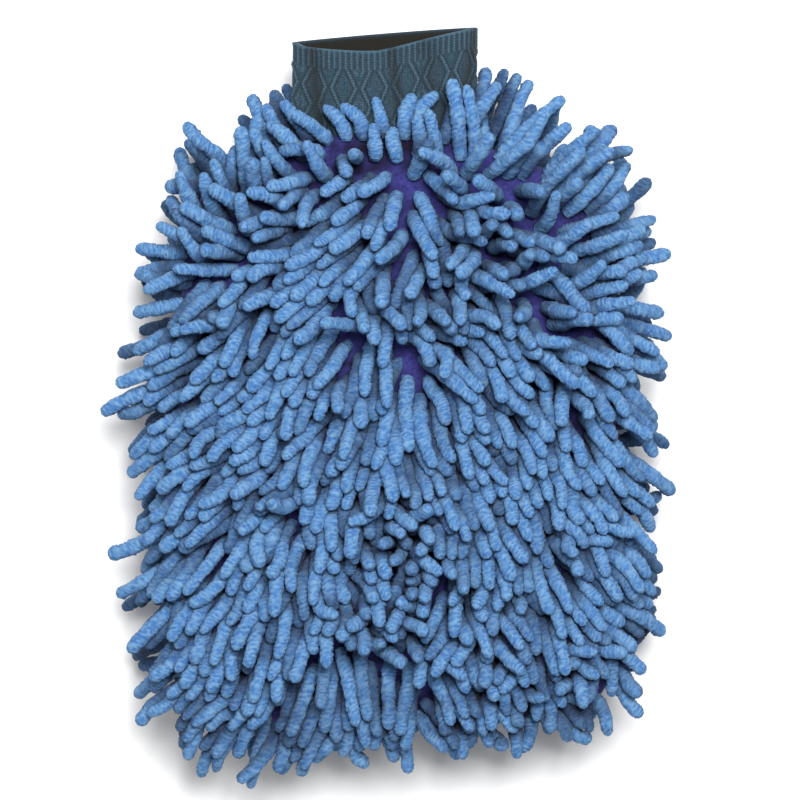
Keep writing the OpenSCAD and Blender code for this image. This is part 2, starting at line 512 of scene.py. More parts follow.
        base = np.maximum(level(s), 1e-3)
        w, h = self.widths(s), self.heights(s) + self.seam_half
        dx = points[:, 0] - self.centres(s)
        dz = points[:, 2] - self.mid_z
        shrink = base ** (1.0 - self.power)
        gradient = np.stack(
            [
                shrink * np.sign(dx) * (np.abs(dx) / w) ** (self.power - 1.0) / w,
                (level(s + self.probe) - level(s - self.probe)) / (2 * self.probe),
                shrink * np.sign(dz) * (np.abs(dz) / h) ** (self.power - 1.0) / h,
            ],
            axis=-1,
        )
        slope = np.maximum(np.linalg.norm(gradient, axis=-1), 1.0)
        distance = np.where(inside_run, (base - 1.0) / slope, 1.0)
        return distance, unit(gradient)


# --- How the pile is brushed ---


def squared_reaches(spots: Array, centre: tuple[float, float], reach: float) -> Array:
    """Squared distance of each spot from the centre of a patch, in reaches."""
    return ((spots - np.array(centre) * MM) ** 2).sum(-1, keepdims=True) / (reach * MM) ** 2


@dataclass(frozen=True)
class Parting:
    """A line, or a point, that the noodles round it fall away from."""

    start: tuple[float, float]
    end: tuple[float, float]
    reach: float
    strength: float = 1.3

    def pull(self, spots: Array) -> Array:
        """Slope added to the pile at each spot.

        Args:
            spots: X and Y of the noodle roots.

        Returns:
            One X and Y slope a row.
        """
        a, b = np.array(self.start) * MM, np.array(self.end) * MM
        run = b - a
        t = np.clip(((spots - a) @ run) / max(float(run @ run), 1e-12), 0.0, 1.0)
        away = spots - (a + t[:, None] * run)
        distance = np.linalg.norm(away, axis=-1, keepdims=True)
        weight = self.strength * np.exp(-((distance / (self.reach * MM)) ** 2))
        return weight * unit(away)


@dataclass(frozen=True)
class Stroke:
    """A patch that a hand has brushed one way."""

    centre: tuple[float, float]
    reach: float
    slope: tuple[float, float]

    def pull(self, spots: Array) -> Array:
        """Slope added to the pile at each spot."""
        return np.exp(-squared_reaches(spots, self.centre, self.reach)) * np.array(self.slope)


@dataclass(frozen=True)
class Tuft:
    """A patch whose noodles stand on end."""

    centre: tuple[float, float]
    reach: float
    keep: float = 0.08

    def lift(self, spots: Array) -> Array:
        """Share of the slope that is left at each spot."""
        squared = squared_reaches(spots, self.centre, self.reach)
        return 1.0 - (1.0 - self.keep) * np.exp(-(squared**1.5))


@dataclass(frozen=True)
class Brushing:
    """The whole brushed pattern of one panel. Places are millimetres in the frame.

    Attributes:
        partings: Lines and points that the noodles fall away from.
        strokes: Patches brushed one way.
        tufts: Patches that stand on end.
        worn: Patches where the noodles keep only a share of their length, or are longer.
        outward: Slope at the side seams.
        towards_fingers: Slope towards the finger end.
        crown: Slope towards the cuff at the mouth.
        turn_y: Where the noodles turn from the fingers to the cuff, away from the middle.
        turn_rise: How much nearer the cuff they turn in the middle.
        turn_reach: Half-width of that rise.
        turn_tilt: Slope of the turning line across the panel.
        turn_run: Length in which the noodles turn.
        turn_start: How much they lean to the fingers on the turning line, from 0 to 1.
        flat_run: Length in which they come to lie flattest, below that line.
        mouth_y: Where the mouth is.
    """

    partings: tuple[Parting, ...]
    strokes: tuple[Stroke, ...]
    tufts: tuple[Tuft, ...]
    worn: tuple[Tuft, ...]
    outward: float
    towards_fingers: float
    crown: float = 1.15
    turn_y: float = 36.0
    turn_rise: float = 48.0
    turn_reach: float = 36.0
    turn_tilt: float = -0.16
    turn_run: float = 32.0
    turn_start: float = 0.3
    flat_run: float = 130.0
    mouth_y: float = 99.5

    def slopes(self, spots: Array, half_width: float) -> Array:
        """Slope of the pile at each spot, away from upright.

        Args:
            spots: X and Y of the noodle roots.
            half_width: Half-width of the bag.

        Returns:
            One X and Y slope a row.
        """
        across = spots[:, 0] / half_width
        x, y = spots[:, 0] / MM, spots[:, 1] / MM
        rise = self.turn_rise * np.exp(-((x / self.turn_reach) ** 2))
        turn = self.turn_y + rise + self.turn_tilt * x
        past = (y - turn) / (self.mouth_y - turn)
        below = turn - y
        flat = 0.5 + 0.5 * smooth(below / self.flat_run)
        down = flat * smooth(below / self.turn_run + self.turn_start)
        along = self.crown * np.clip(past, 0.0, None) - self.towards_fingers * down
        slope = np.stack([self.outward * across, along], axis=-1)
        for part in (*self.partings, *self.strokes):
            slope = slope + part.pull(spots)
        return slope * self.lift(spots)

    def lift(self, spots: Array) -> Array:
        """Share of the slope that the tufts leave at each spot."""
        return math.prod((tuft.lift(spots) for tuft in self.tufts), start=np.ones((len(spots), 1)))

    def wear(self, spots: Array) -> Array:
        """Share of the usual length that noodles have at each spot."""
        return math.prod((patch.lift(spots) for patch in self.worn), start=np.ones((len(spots), 1)))


FRONT_BRUSHING = Brushing(
    partings=(
        Parting((0, 88), (0, 88), 10, 0.4),
        Parting((3, 82), (6, 56), 9, 0.7),
        Parting((32, 87), (32, 87), 14, 0.9),
        Parting((59, 62), (59, 62), 13, 0.9),
        Parting((-20, 33), (7, 18), 13, 1.2),
        Parting((-28, -88), (4, -92), 13, 1.9),
    ),
    strokes=(
        Stroke((-22, 72), 20, (-0.7, -0.7)),
        Stroke((14, 70), 11, (0.1, -1.0)),
        Stroke((40, 95), 15, (0.4, 1.6)),
        Stroke((64, 86), 24, (0.9, 0.5)),
        Stroke((-70, 86), 24, (0.5, 0.3)),
        Stroke((-86, 64), 24, (0.5, 0.0)),
        Stroke((-70, 50), 24, (-0.3, 0.0)),
        Stroke((66, 62), 20, (0.6, 0.1)),
        Stroke((-50, 6), 34, (-0.35, -0.15)),
        Stroke((20, -4), 22, (0.5, -0.4)),
        Stroke((46, -12), 36, (-0.3, -0.5)),
        Stroke((-40, -62), 30, (0.1, -0.25)),
        Stroke((-20, -86), 9, (1.7, 0.2)),
        Stroke((60, -116), 30, (-0.6, 1.6)),
        Stroke((0, -118), 34, (0.0, 0.9)),
        Stroke((-82, -114), 22, (0.5, 0.5)),
    ),
    tufts=(
        Tuft((38, 71), 21),
        Tuft((6, -48), 32, 0.05),
        Tuft((-14, -76), 11, 0.2),
        Tuft((-48, 56), 13, 0.3),
        Tuft((-12, 43), 11, 0.15),
        Tuft((50, 22), 11, 0.4),
    ),
    worn=(
        Tuft((62, -120), 38, 0.64),
        Tuft((0, -124), 28, 0.78),
        Tuft((-94, 60), 32, 0.68),
        Tuft((-84, 92), 24, 0.8),
        Tuft((-46, 98), 18, 0.78),
        Tuft((-8, 99), 24, 0.55),
        Tuft((44, 98), 17, 1.2),
        Tuft((94, 28), 36, 0.82),
        Tuft((94, -70), 30, 0.88),
    ),
    outward=0.62,
    towards_fingers=1.1,
    crown=0.9,
)
BACK_BRUSHING = Brushing(
    partings=(
        Parting((12, 40), (-6, 18), 24, 0.9),
        Parting((-30, -40), (-16, -52), 20, 0.8),
    ),
    strokes=(
        Stroke((40, -30), 34, (0.4, -0.2)),
        Stroke((-40, 60), 30, (-0.5, -0.3)),
        Stroke((60, 90), 26, (0.5, 0.9)),
        Stroke((58, -112), 34, (-0.5, 1.9)),
        Stroke((0, -116), 36, (0.0, 0.8)),
        Stroke((-80, -112), 26, (0.4, 0.8)),
    ),
    tufts=(Tuft((24, -70), 12, 0.3),),
    worn=(
        Tuft((62, -120), 40, 0.58),
        Tuft((0, -124), 30, 0.72),
        Tuft((-92, 68), 34, 0.62),
        Tuft((-48, 98), 22, 0.75),
        Tuft((92, 0), 50, 0.85),
    ),
    outward=0.5,
    towards_fingers=0.75,
)


# --- Position-based relaxation ---


def near_pairs(points: Array, owner: Array, reach: float) -> tuple[Array, Array]:
    """Pairs of points of different owners that lie within reach of each other.

    Args:
        points: Coordinates, one row each.
        owner: Number of the noodle that each point is on.
        reach: Largest distance of a pair.

    Returns:
        The two point numbers of each pair.
    """
    cells = np.floor((points - points.min(0)) / reach).astype(np.int64) + 1
    span = cells.max(0) + 2
    key = (cells[:, 0] * span[1] + cells[:, 1]) * span[2] + cells[:, 2]
    order = np.argsort(key, kind="stable")
    ordered = key[order]
    count = len(points)
    firsts, seconds = [], []
    for ox, oy, oz in itertools.product((-1, 0, 1), repeat=3):
        offset = (ox * span[1] + oy) * span[2] + oz
        if offset < 0:
            continue
        low = np.searchsorted(ordered, ordered + offset, "left")
        if offset == 0:
            low = np.arange(1, count + 1)
        high = np.searchsorted(ordered, ordered + offset, "right")
        number = np.maximum(high - low, 0)
        total = int(number.sum())
        start = np.repeat(np.cumsum(number) - number, number)
        firsts.append(order[np.repeat(np.arange(count), number)])
        seconds.append(order[np.arange(total) - start + np.repeat(low, number)])
    first, second = np.concatenate(firsts), np.concatenate(seconds)
    other = owner[first] != owner[second]
    first, second = first[other], second[other]
    close = ((points[first] - points[second]) ** 2).sum(-1) < reach**2
    return first[close], second[close]


@dataclass
class StrandSolver:
    """Settles many soft strands of equal beads against one another.

    Attributes:
        beads: Bead centres, by strand, bead and axis.
        spacing: Distance between a strand's beads.
        lean: Direction that each strand is brushed in, tangent to the cloth.
        rooted: Direction in which each strand leaves the cloth.
        curl: Sideways step from bead to bead that each strand is at ease with.
        bag: The bag that the strands are sewn to.
        cuff_box: Lowest and highest corners of the cuff.
        radius: Radius of a bead.
        stiffness: Share of a bend that springs back in each round.
        root_hold: Share by which the second bead comes back over the root.
        rounds: Number of rounds of relaxation.
        refresh: Rounds after which neighbours are looked for again.
        neighbour_margin: How far apart strands are still watched for touching.
        push_share: Share of an overlap that each of two beads gives way in a round.
        push_most: Most that a bead gives way in a round.
        clear_most: Most that the bag pushes a bead in a round.
        cuff_core: Share of the cuff inside which its push no longer grows.
        cuff_grow: Most that the cuff's push stretches a bead's distance from its middle.
        brush_step: How far brushing moves a bead in a round.
        sag_step: How far its weight moves a bead in a round.
        fade: Share of both that is lost by the last round.
        floor_gap: Least height of a bead above the floor.
    """

    beads: Array
    spacing: Array
    lean: Array
    rooted: Array
    curl: Array
    bag: BagShape
    cuff_box: tuple[Vector, Vector]
    radius: float = 2.55 * MM
    stiffness: float = 0.15
    root_hold: float = 0.5
    rounds: int = 220
    refresh: int = 8
    neighbour_margin: float = 1.5 * MM
    push_share: float = 0.4
    push_most: float = 1.2 * MM
    clear_most: float = 3 * MM
    cuff_core: float = 0.3
    cuff_grow: float = 1.3
    brush_step: float = 0.10 * MM
    sag_step: float = 0.07 * MM
    fade: float = 0.7
    floor_gap: float = 3.2 * MM

    def settle(self) -> Array:
        """Run every round.

        Returns:
            The settled bead centres.
        """
        strands, count = self.beads.shape[:2]
        owner = np.repeat(np.arange(strands), count)
        reach = 2 * self.radius + self.neighbour_margin
        first = second = np.zeros(0, dtype=np.int64)
        free = np.ones((strands, count, 1))
        free[:, 0] = 0.0
        for turn in range(self.rounds):
            if turn % self.refresh == 0:
                first, second = near_pairs(self.beads.reshape(-1, 3), owner, reach)
            fade = 1.0 - self.fade * turn / self.rounds
            self.beads += free * fade * self.brush_step * self.lean[:, None, :]
            self.beads[..., 2] -= free[..., 0] * fade * self.sag_step
            self._straighten()
            self._part(first, second)
            self._keep_lengths()
            self._keep_clear()
        return self.beads

    def _straighten(self) -> None:
        """Let bends spring back, from the root to the tip."""
        second = self.beads[:, 0] + self.spacing[:, None] * self.rooted
        self.beads[:, 1] += self.root_hold * (second - self.beads[:, 1])
        for i in range(2, self.beads.shape[1]):
            eased = 2 * self.beads[:, i - 1] - self.beads[:, i - 2] + self.curl
            self.beads[:, i] += self.stiffness * (eased - self.beads[:, i])

    def _keep_lengths(self) -> None:
        """Bring each strand back to its own length."""
        for i in range(1, self.beads.shape[1]):
            step = unit(self.beads[:, i] - self.beads[:, i - 1])
            self.beads[:, i] = self.beads[:, i - 1] + self.spacing[:, None] * step

    def _part(self, first: Array, second: Array) -> None:
        """Push beads of different strands apart where they overlap.

        Args:
            first: First bead of each pair.
            second: Second bead of each pair.
        """
        flat = self.beads.reshape(-1, 3)
        gap = flat[first] - flat[second]
        distance = np.linalg.norm(gap, axis=-1)
        deep = distance < 2 * self.radius
        a, b, apart = first[deep], second[deep], distance[deep]
        share = self.push_share * (2 * self.radius - apart) / np.maximum(apart, 1e-9)
        push = share[:, None] * gap[deep]
        moves = [
            np.bincount(a, push[:, k], len(flat)) - np.bincount(b, push[:, k], len(flat))
            for k in range(3)
        ]
        move = np.stack(moves, axis=-1)
        move[np.arange(0, len(flat), self.beads.shape[1])] = 0.0
        length = np.linalg.norm(move, axis=-1, keepdims=True)
        move *= np.minimum(1.0, self.push_most / np.maximum(length, 1e-9))
        self.beads = (flat + move).reshape(self.beads.shape)

    def _keep_clear(self) -> None:
        """Keep beads out of the bag, the cuff and the floor."""
        moving = self.beads[:, 1:].reshape(-1, 3)
        distance, out = self.bag.clearance(moving)
        short = np.clip(self.radius - distance, 0.0, self.clear_most)
        moving = moving + short[:, None] * out
        low, high = self.cuff_box
        half = np.array([(high.x - low.x) / 2, (high.z - low.z) / 2])
        centre = np.array([(high.x + low.x) / 2, (high.z + low.z) / 2])
        away = moving[:, [0, 2]] - centre
        level = np.sqrt(((away / (half + self.radius)) ** 2).sum(-1))
        inside = (level < 1.0) & (moving[:, 1] > low.y) & (moving[:, 1] < high.y)
        grow = np.minimum(1.0 / np.maximum(level[inside], self.cuff_core), self.cuff_grow)
        pushed = centre + away[inside] * grow[:, None]
        moving[inside, 0] = pushed[:, 0]
        moving[inside, 2] = pushed[:, 1]
        moving[:, 2] = np.maximum(moving[:, 2], self.floor_gap)
        self.beads[:, 1:] = moving.reshape(self.beads[:, 1:].shape)


# --- Materials ---


@dataclass
class NodeBench:
    """A node tree with short ways to add and join nodes."""

    tree: bpy.types.NodeTree

    def add(self, kind: str, **settings: object) -> bpy.types.Node:
        """Add a node and set its properties.

        Args:
            kind: Blender's name of the node type.
            **settings: Properties of the node.

        Returns:
            The new node.
        """
        node = self.tree.nodes.new(kind)
        for name, value in settings.items():
            setattr(node, name, value)
        return node

    def join(self, output: Socket, target: Socket) -> None:
        """Link an output to an input."""
        self.tree.links.new(output, target)

    def math(self, operation: str, first: Socket, second: float | Socket) -> Socket:
        """Add a two-input Math node.

        Args:
            operation: The node's operation.
            first: Its first input.
            second: A number or an output for its second input.

        Returns:
            The node's output.
        """
        node = self.add("ShaderNodeMath", operation=operation)
        self.join(first, node.inputs[0])
        if isinstance(second, Socket):
            self.join(second, node.inputs[1])
        else:
            node.inputs[1].default_value = second
        return node.outputs[0]

    def noise(self, where: Socket, scale: float, detail: float) -> bpy.types.Node:
        """Add a Noise Texture node.

        Args:
            where: Coordinates to read it at.
            scale: Lumps to the metre.
            detail: Octaves of finer noise.

        Returns:
            The node.
        """
        node = self.add("ShaderNodeTexNoise")
        node.inputs["Scale"].default_value = scale
        node.inputs["Detail"].default_value = detail
        self.join(where, node.inputs["Vector"])
        return node

    def mix(
        self,
        share: Socket,
        first: tuple[float, ...] | Socket,
        second: tuple[float, ...] | Socket,
    ) -> Socket:
        """Add a colour Mix node.

        Args:
            share: How much of the second colour is taken.
            first: Colour at 0.
            second: Colour at 1.

        Returns:
            The mixed colour.
        """
        node = self.add("ShaderNodeMix", data_type="RGBA")
        self.join(share, node.inputs[0])
        for socket, value in ((node.inputs[6], first), (node.inputs[7], second)):
            if isinstance(value, Socket):
                self.join(value, socket)
            else:
                socket.default_value = value
        return node.outputs[2]

    def ramp(self, value: Socket, low: float, high: float, least: float = 0.0) -> Socket:
        """Map a value to the range up to 1, clamped.

        Args:
            value: The value.
            low: What is mapped to the least result.
            high: What is mapped to 1.
            least: The least result.

        Returns:
            The mapped value.
        """
        node = self.add("ShaderNodeMapRange")
        node.inputs["From Min"].default_value = low
        node.inputs["From Max"].default_value = high
        node.inputs["To Min"].default_value = least
        self.join(value, node.inputs["Value"])
        return node.outputs["Result"]

    def read(self, name: str) -> Socket:
        """Read one of the mesh's own values."""
        return self.add("ShaderNodeAttribute", attribute_name=name).outputs["Fac"]


def fibre_group() -> bpy.types.NodeTree:
    """Group for the fuzz of spun fibre: soft mottling, and a height for a Bump node.

    Returns:
        The group, with Coarse and Fine scales in and Mottle and Height out.
    """
    found = bpy.data.node_groups.get("fibre_fuzz")
    if found:
        return found
    group = bpy.data.node_groups.new("fibre_fuzz", "ShaderNodeTree")
    for name, value in (("Coarse", 260.0), ("Fine", 1500.0)):
        socket = group.interface.new_socket(name, in_out="INPUT", socket_type="NodeSocketFloat")
        socket.default_value = value
    for name in ("Mottle", "Height"):
        group.interface.new_socket(name, in_out="OUTPUT", socket_type="NodeSocketFloat")
    bench = NodeBench(group)
    source = bench.add("NodeGroupInput")
    sink = bench.add("NodeGroupOutput")
    where = bench.add("ShaderNodeTexCoord").outputs["Object"]
    coarse = bench.noise(where, 1.0, 3.0)
    fine = bench.noise(where, 1.0, 2.0)
    bench.join(source.outputs["Coarse"], coarse.inputs["Scale"])
    bench.join(source.outputs["Fine"], fine.inputs["Scale"])
    both = bench.math("MULTIPLY", coarse.outputs["Fac"], 0.6)
    grain = bench.math("MULTIPLY", fine.outputs["Fac"], 0.4)
    bench.join(bench.math("ADD", both, grain), sink.inputs["Mottle"])
    bench.join(fine.outputs["Fac"], sink.inputs["Height"])
    return group


@dataclass(frozen=True)
class FabricFinish:
    """A woolly or woven finish with mottling, painted shade, a painted highlight and a fibre bump.

    Attributes:
        name: Name of the material.
        light: Colour of the raised fibres.
        dark: Colour of the hollows of the mottling.
        coarse: Scale of the mottling, to the metre.
        fine: Scale of the fibres, to the metre.
        deep: Painted shade colour, where the mesh's depth value, its painted light, is 0.
        raised: Painted highlight colour on the crests of the mesh's pile value.
        tint_share: How far a tint value of 1 goes towards dark.
        painted_light_from: Depth value at which the painted shade is still full.
        painted_light_to: Depth value above which there is no painted shade.
        mottling: Noise values at which the mottling is dark and light.
        crest: Pile values at which the painted highlight of a crest starts, and is full.
        bump: Strength of the fibre bump.
        bump_height: Height of the fibres.
        roughness_low: Roughness where the noise is 0.
        sheen: Weight of the fibre sheen.
        sheen_roughness: Its roughness.
        sheen_tint: Its colour.
        specular: Level of the specular reflection.
        uses_tint_and_painted_light: Whether the mesh has a tint value, and depth and pile values for
            painted shade and highlight.
        uses_painted_noodle_shade: Whether the mesh may have a cover value, painted shade under the
            noodles.
    """

    name: str
    light: Colour
    dark: Colour
    coarse: float
    fine: float
    deep: Colour = (0.0, 0.0, 0.0, 1.0)
    raised: Colour = (1.0, 1.0, 1.0, 1.0)
    tint_share: float = 0.4
    painted_light_from: float = 0.0
    painted_light_to: float = 1.0
    mottling: tuple[float, float] = (0.36, 0.62)
    crest: tuple[float, float] = (0.15, 1.2)
    bump: float = 0.6
    bump_height: float = 0.4 * MM
    roughness_low: float = 0.82
    sheen: float = 0.25
    sheen_roughness: float = 0.45
    sheen_tint: Colour = (0.8, 0.88, 1.0, 1.0)
    specular: float = 0.2
    uses_tint_and_painted_light: bool = True
    uses_painted_noodle_shade: bool = False

    def build(self) -> Material:
        """Make the material.

        Returns:
            The material, ready to assign.
        """
        material = bpy.data.materials.new(self.name)
        material.use_nodes = True
        bench = NodeBench(material.node_tree)
        shader = material.node_tree.nodes["Principled BSDF"]
        fuzz = bench.add("ShaderNodeGroup", node_tree=fibre_group())
        fuzz.inputs["Coarse"].default_value = self.coarse
        fuzz.inputs["Fine"].default_value = self.fine
        share = bench.ramp(fuzz.outputs["Mottle"], *self.mottling)
        colour = bench.mix(share, self.dark, self.light)
        # Random tint, a painted highlight on crests from the pile value, and painted shade from the
        # depth value.
        if self.uses_tint_and_painted_light:
            share = bench.math("MULTIPLY", bench.read("tint"), self.tint_share)
            colour = bench.mix(share, colour, self.dark)
            share = bench.ramp(bench.read("pile"), *self.crest)
            colour = bench.mix(share, colour, self.raised)
            share = bench.ramp(bench.read("depth"), self.painted_light_from, self.painted_light_to)
            colour = bench.mix(share, self.deep, colour)
        # Painted shade where the noodles cover the cloth.
        if self.uses_painted_noodle_shade:
            colour = bench.mix(bench.read("cover"), colour, self.deep)
        bump = bench.add("ShaderNodeBump")
        bump.inputs["Strength"].default_value = self.bump
        bump.inputs["Distance"].default_value = self.bump_height
        bench.join(fuzz.outputs["Height"], bump.inputs["Height"])
        rough = bench.ramp(fuzz.outputs["Mottle"], 0.0, 1.0, self.roughness_low)
        bench.join(colour, shader.inputs["Base Color"])
        bench.join(rough, shader.inputs["Roughness"])
        bench.join(bump.outputs["Normal"], shader.inputs["Normal"])
        shader.inputs["Sheen Weight"].default_value = self.sheen
        shader.inputs["Sheen Roughness"].default_value = self.sheen_roughness
        shader.inputs["Sheen Tint"].default_value = self.sheen_tint
        shader.inputs["Specular IOR Level"].default_value = self.specular
        return material


CHENILLE = FabricFinish(
    "chenille_blue",
    light=srgb(84, 137, 190),
    dark=srgb(56, 101, 164),
    # Painted shade colour between the noodles and on their flanks.
    deep=srgb(22, 16, 44),
    # Painted highlight colour on the ridge crests.
    raised=srgb(126, 168, 204),
    painted_light_from=0.02,
    painted_light_to=0.85,
    coarse=850.0,
    fine=2100.0,
    bump=1.0,
    bump_height=0.9 * MM,
    sheen=0.05,
)
BASE_CLOTH = FabricFinish(
    "backing_cloth_violet_blue",
    light=srgb(60, 62, 132),
    dark=srgb(42, 38, 98),
    # Painted shade colour under the noodles.
    deep=srgb(16, 12, 34),
    coarse=700.0,
    fine=2200.0,
    sheen=0.05,
    uses_tint_and_painted_light=False,
    uses_painted_noodle_shade=True,
)
LINING = FabricFinish(
    "lining_grey_blue",
    light=srgb(150, 160, 172),
    dark=srgb(120, 130, 146),
    coarse=500.0,
    fine=3200.0,
    bump=0.3,
    bump_height=0.15 * MM,
    sheen=0.15,
    uses_tint_and_painted_light=False,
)
KNIT = FabricFinish(
    "cuff_knit_teal",
    light=srgb(58, 85, 103),
    dark=srgb(34, 53, 65),
    # deep is painted shade inside the tube and in grooves and creases; raised is a painted highlight on
    # ribs and stitches.
    deep=srgb(30, 26, 18),
    raised=srgb(82, 112, 128),
    coarse=1300.0,
    fine=2600.0,
    bump=0.8,
    bump_height=0.35 * MM,
    sheen=0.12,
    tint_share=0.6,
)
THREAD = FabricFinish(
    "thread_navy",
    light=srgb(60, 72, 130),
    dark=srgb(38, 46, 96),
    coarse=1500.0,
    fine=5000.0,
    bump=0.4,
    bump_height=0.1 * MM,
    uses_tint_and_painted_light=False,
)
ELASTIC = FabricFinish(
    "elastic_white",
    light=srgb(226, 226, 220),
    dark=srgb(200, 200, 194),
    coarse=1200.0,
    fine=4000.0,
    bump=0.3,
    bump_height=0.1 * MM,
    uses_tint_and_painted_light=False,
)


# --- Pile ---


@dataclass
class ChenillePile:
    """All the noodles of both panels, in double rows of stitching.

    Attributes:
        bag: The bag that the noodles are sewn to.
        strips: Number of double rows on each panel. The last has a third row, at the mouth.
        bending_strips: Number of the front's double rows that are put on no body, their placement only
            baked.
        pitch: Spacing of the noodles along a row.
        edge_clear: Least height of a root above the side seam.
        scatter: How far a root strays from its even place.
        proud: Height of the first bead above the cloth.
        radius: Radius of a noodle.
        length: Usual length of a noodle.
        length_spread: Standard deviation of the length, as a share.
        beads: Beads of each noodle in the solver.
        lean_most: Most slope that a noodle is brushed to.
        start: Shares of upright and of slope with which a noodle leaves the cloth.
        finish: Share of upright that is left at its end.
        curl: How far a noodle bends from bead to bead, at rest.
        curl_least: Share of that bend that it keeps in a tuft.
        waves: Wavelengths of the pile's unevenness.
        wave_slope: Slope of that unevenness.
        stray: Slope by which single noodles stray.
        ease: Least and most share of the brushing that a single noodle follows.
        ridge: Distance from a ridge of the chenille to the next hollow.
        ridge_depth: Height of a ridge over its middle.
        ring_share: How far the ridges run right round.
        ring_spread: Standard deviation of that share.
        lobes: Numbers of lobes that the ridges break up into.
        lobe_height: Height of those lobes, in ridges.
        lumps: Share of the girth and length of each of the slow swellings.
        girth_spread: Standard deviation of the girth, as a share.
        fuzz: How far a point of the surface strays.
        taper: Share of its girth that a noodle may lose at its tip.
        root_girth: Share of its girth that it has where it leaves the cloth.
        tip: Length of the rounded end.
        shade_reach: How near a neighbour must be to add painted shade to a bead.
        shade: How fast neighbours deepen that painted shade.
        flank: Share of the painted light left on the side towards the cloth.
        sides: Facets round a noodle.
        seed: Seed of every random draw.
    """

    bag: BagShape
    strips: int = 16
    bending_strips: int = 4
    pitch: float = 7.1 * MM
    edge_clear: float = 2.6 * MM
    scatter: float = 0.8 * MM
    proud: float = 0.2 * MM
    radius: float = 2.7 * MM
    length: float = 27.5 * MM
    length_spread: float = 0.085
    beads: int = 9
    lean_most: float = 1.7
    start: tuple[float, float] = (0.85, 0.65)
    finish: float = 0.25
    curl: float = 0.24 * MM
    curl_least: float = 0.4
    waves: tuple[float, ...] = (54 * MM, 28 * MM, 16 * MM, 12 * MM)
    wave_slope: float = 0.42
    stray: float = 0.24
    ease: tuple[float, float] = (0.5, 1.2)
    ridge: float = 0.64 * MM
    ridge_depth: float = 0.13 * MM
    ring_share: float = 0.1
    ring_spread: float = 0.4
    lobes: tuple[int, ...] = (2, 3, 5)
    lobe_height: float = 0.55
    lumps: tuple[tuple[float, float], ...] = ((0.045, 1.3 * MM), (0.035, 2.9 * MM))
    girth_spread: float = 0.04
    fuzz: float = 0.12 * MM
    taper: float = 0.2
    root_girth: float = 0.8
    tip: float = 3.6 * MM
    shade_reach: float = 9 * MM
    shade: float = 0.46
    flank: float = 0.38
    sides: int = 16
    seed: int = 29

    def rows(self, side: Side, rng: Random) -> tuple[Array, Array, Array]:
        """Place the roots on one panel.

        Args:
            side: The panel.
            rng: Source of the roots' unevenness.

        Returns:
            Roots, outward directions and strip numbers.
        """
        roots, normals, strip = [], [], []
        angles = np.linspace(0.0, np.pi, 241)
        for row in range(2 * self.strips + 1):
            station = np.array(FIRST_ROW + row * ROW_PITCH)
            line = self.bag.section(station, angles, side)
            arc = run_along(line)
            middle = arc[-1] / 2
            most = math.ceil(middle / self.pitch)
            places = middle + self.pitch * (np.arange(-most, most + 1) + (row % 2) / 2)
            places = places + rng.normal(0.0, self.scatter, len(places))
            places = places[(places > 0.0) & (places < arc[-1])]
            at = np.interp(places, arc, angles)
            stations = station + rng.normal(0.0, self.scatter, len(places))
            points = self.bag.section(stations, at, side)
            keep = np.abs(points[:, 2] - self.bag.mid_z) > self.edge_clear
            roots.append(points[keep])
            normals.append(self.bag.normals(stations, at, side)[keep])
            strip.append(np.full(int(keep.sum()), min(row // 2 + 1, self.strips)))
        return np.concatenate(roots), np.concatenate(normals), np.concatenate(strip)

    def _grow(
        self, roots: Array, normals: Array, brushing: Brushing, rng: Random
    ) -> dict[str, Array]:
        """Lay out one panel's noodles before they settle.

        Args:
            roots: Where they leave the cloth.
            normals: The cloth's outward directions there.
            brushing: How the panel is brushed.
            rng: Source of their unevenness.

        Returns:
            The solver's arrays, by name.
        """
        spots = roots[:, :2]
        lift = brushing.lift(spots)
        slope = brushing.slopes(spots, self.bag.half_width) + lift * self._wander(spots, rng)
        slope = slope * rng.uniform(*self.ease, (len(slope), 1))
        slope = slope + rng.normal(0.0, self.stray, slope.shape)
        lean = np.concatenate([slope, np.zeros((len(slope), 1))], axis=1)
        lean -= (lean * normals).sum(-1, keepdims=True) * normals
        steep = np.linalg.norm(lean, axis=-1, keepdims=True)
        lean *= 1.0 / np.maximum(1.0, steep / self.lean_most)
        upright, brushed = self.start
        start = unit(upright * normals + brushed * lean)
        finish = unit(self.finish * normals + lean)
        length = self.length * rng.normal(1.0, self.length_spread, len(roots))
        length = length * brushing.wear(spots)[:, 0]
        step = (length - self.tip) / (self.beads - 1)
        share = np.linspace(0.0, 1.0, self.beads - 1)[None, :, None]
        aim = unit(start[:, None] * (1 - share) + finish[:, None] * share)
        chain = np.cumsum(aim * step[:, None, None], axis=1)
        chain = np.concatenate([np.zeros((len(roots), 1, 3)), chain], axis=1)
        bend = np.cross(start, rng.normal(0.0, 1.0, start.shape))
        bow = np.abs(rng.normal(0.0, self.curl, (len(roots), 1)))
        return {
            "beads": roots[:, None] + self.proud * normals[:, None] + chain,
            "spacing": step,
            "lean": lean,
            "rooted": start,
            "curl": unit(bend) * bow * (self.curl_least + (1 - self.curl_least) * lift),
        }

    def settle(self) -> dict[Side, tuple[Array, Array, Array]]:
        """Grow and relax every noodle.

        Returns:
            For each panel, bead centres, how open each bead is for the painted shade, and strip
            numbers.
        """
        rng = np.random.default_rng(self.seed)
        grown = {side: self.rows(side, rng) for side in Side}
        strands = [
            self._grow(*grown[side][:2], brushing, rng)
            for side, brushing in zip(Side, (FRONT_BRUSHING, BACK_BRUSHING))
        ]
        arrays = {name: np.concatenate([one[name] for one in strands]) for name in strands[0]}
        solver = StrandSolver(**arrays, bag=self.bag, cuff_box=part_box("cuff_knit"))
        settled = solver.settle()
        light = self._openness_for_painted_shade(settled)
        split = [len(grown[Side.FRONT][0])]
        halves = zip(Side, np.split(settled, split), np.split(light, split))
        return {side: (beads, lit, grown[side][2]) for side, beads, lit in halves}

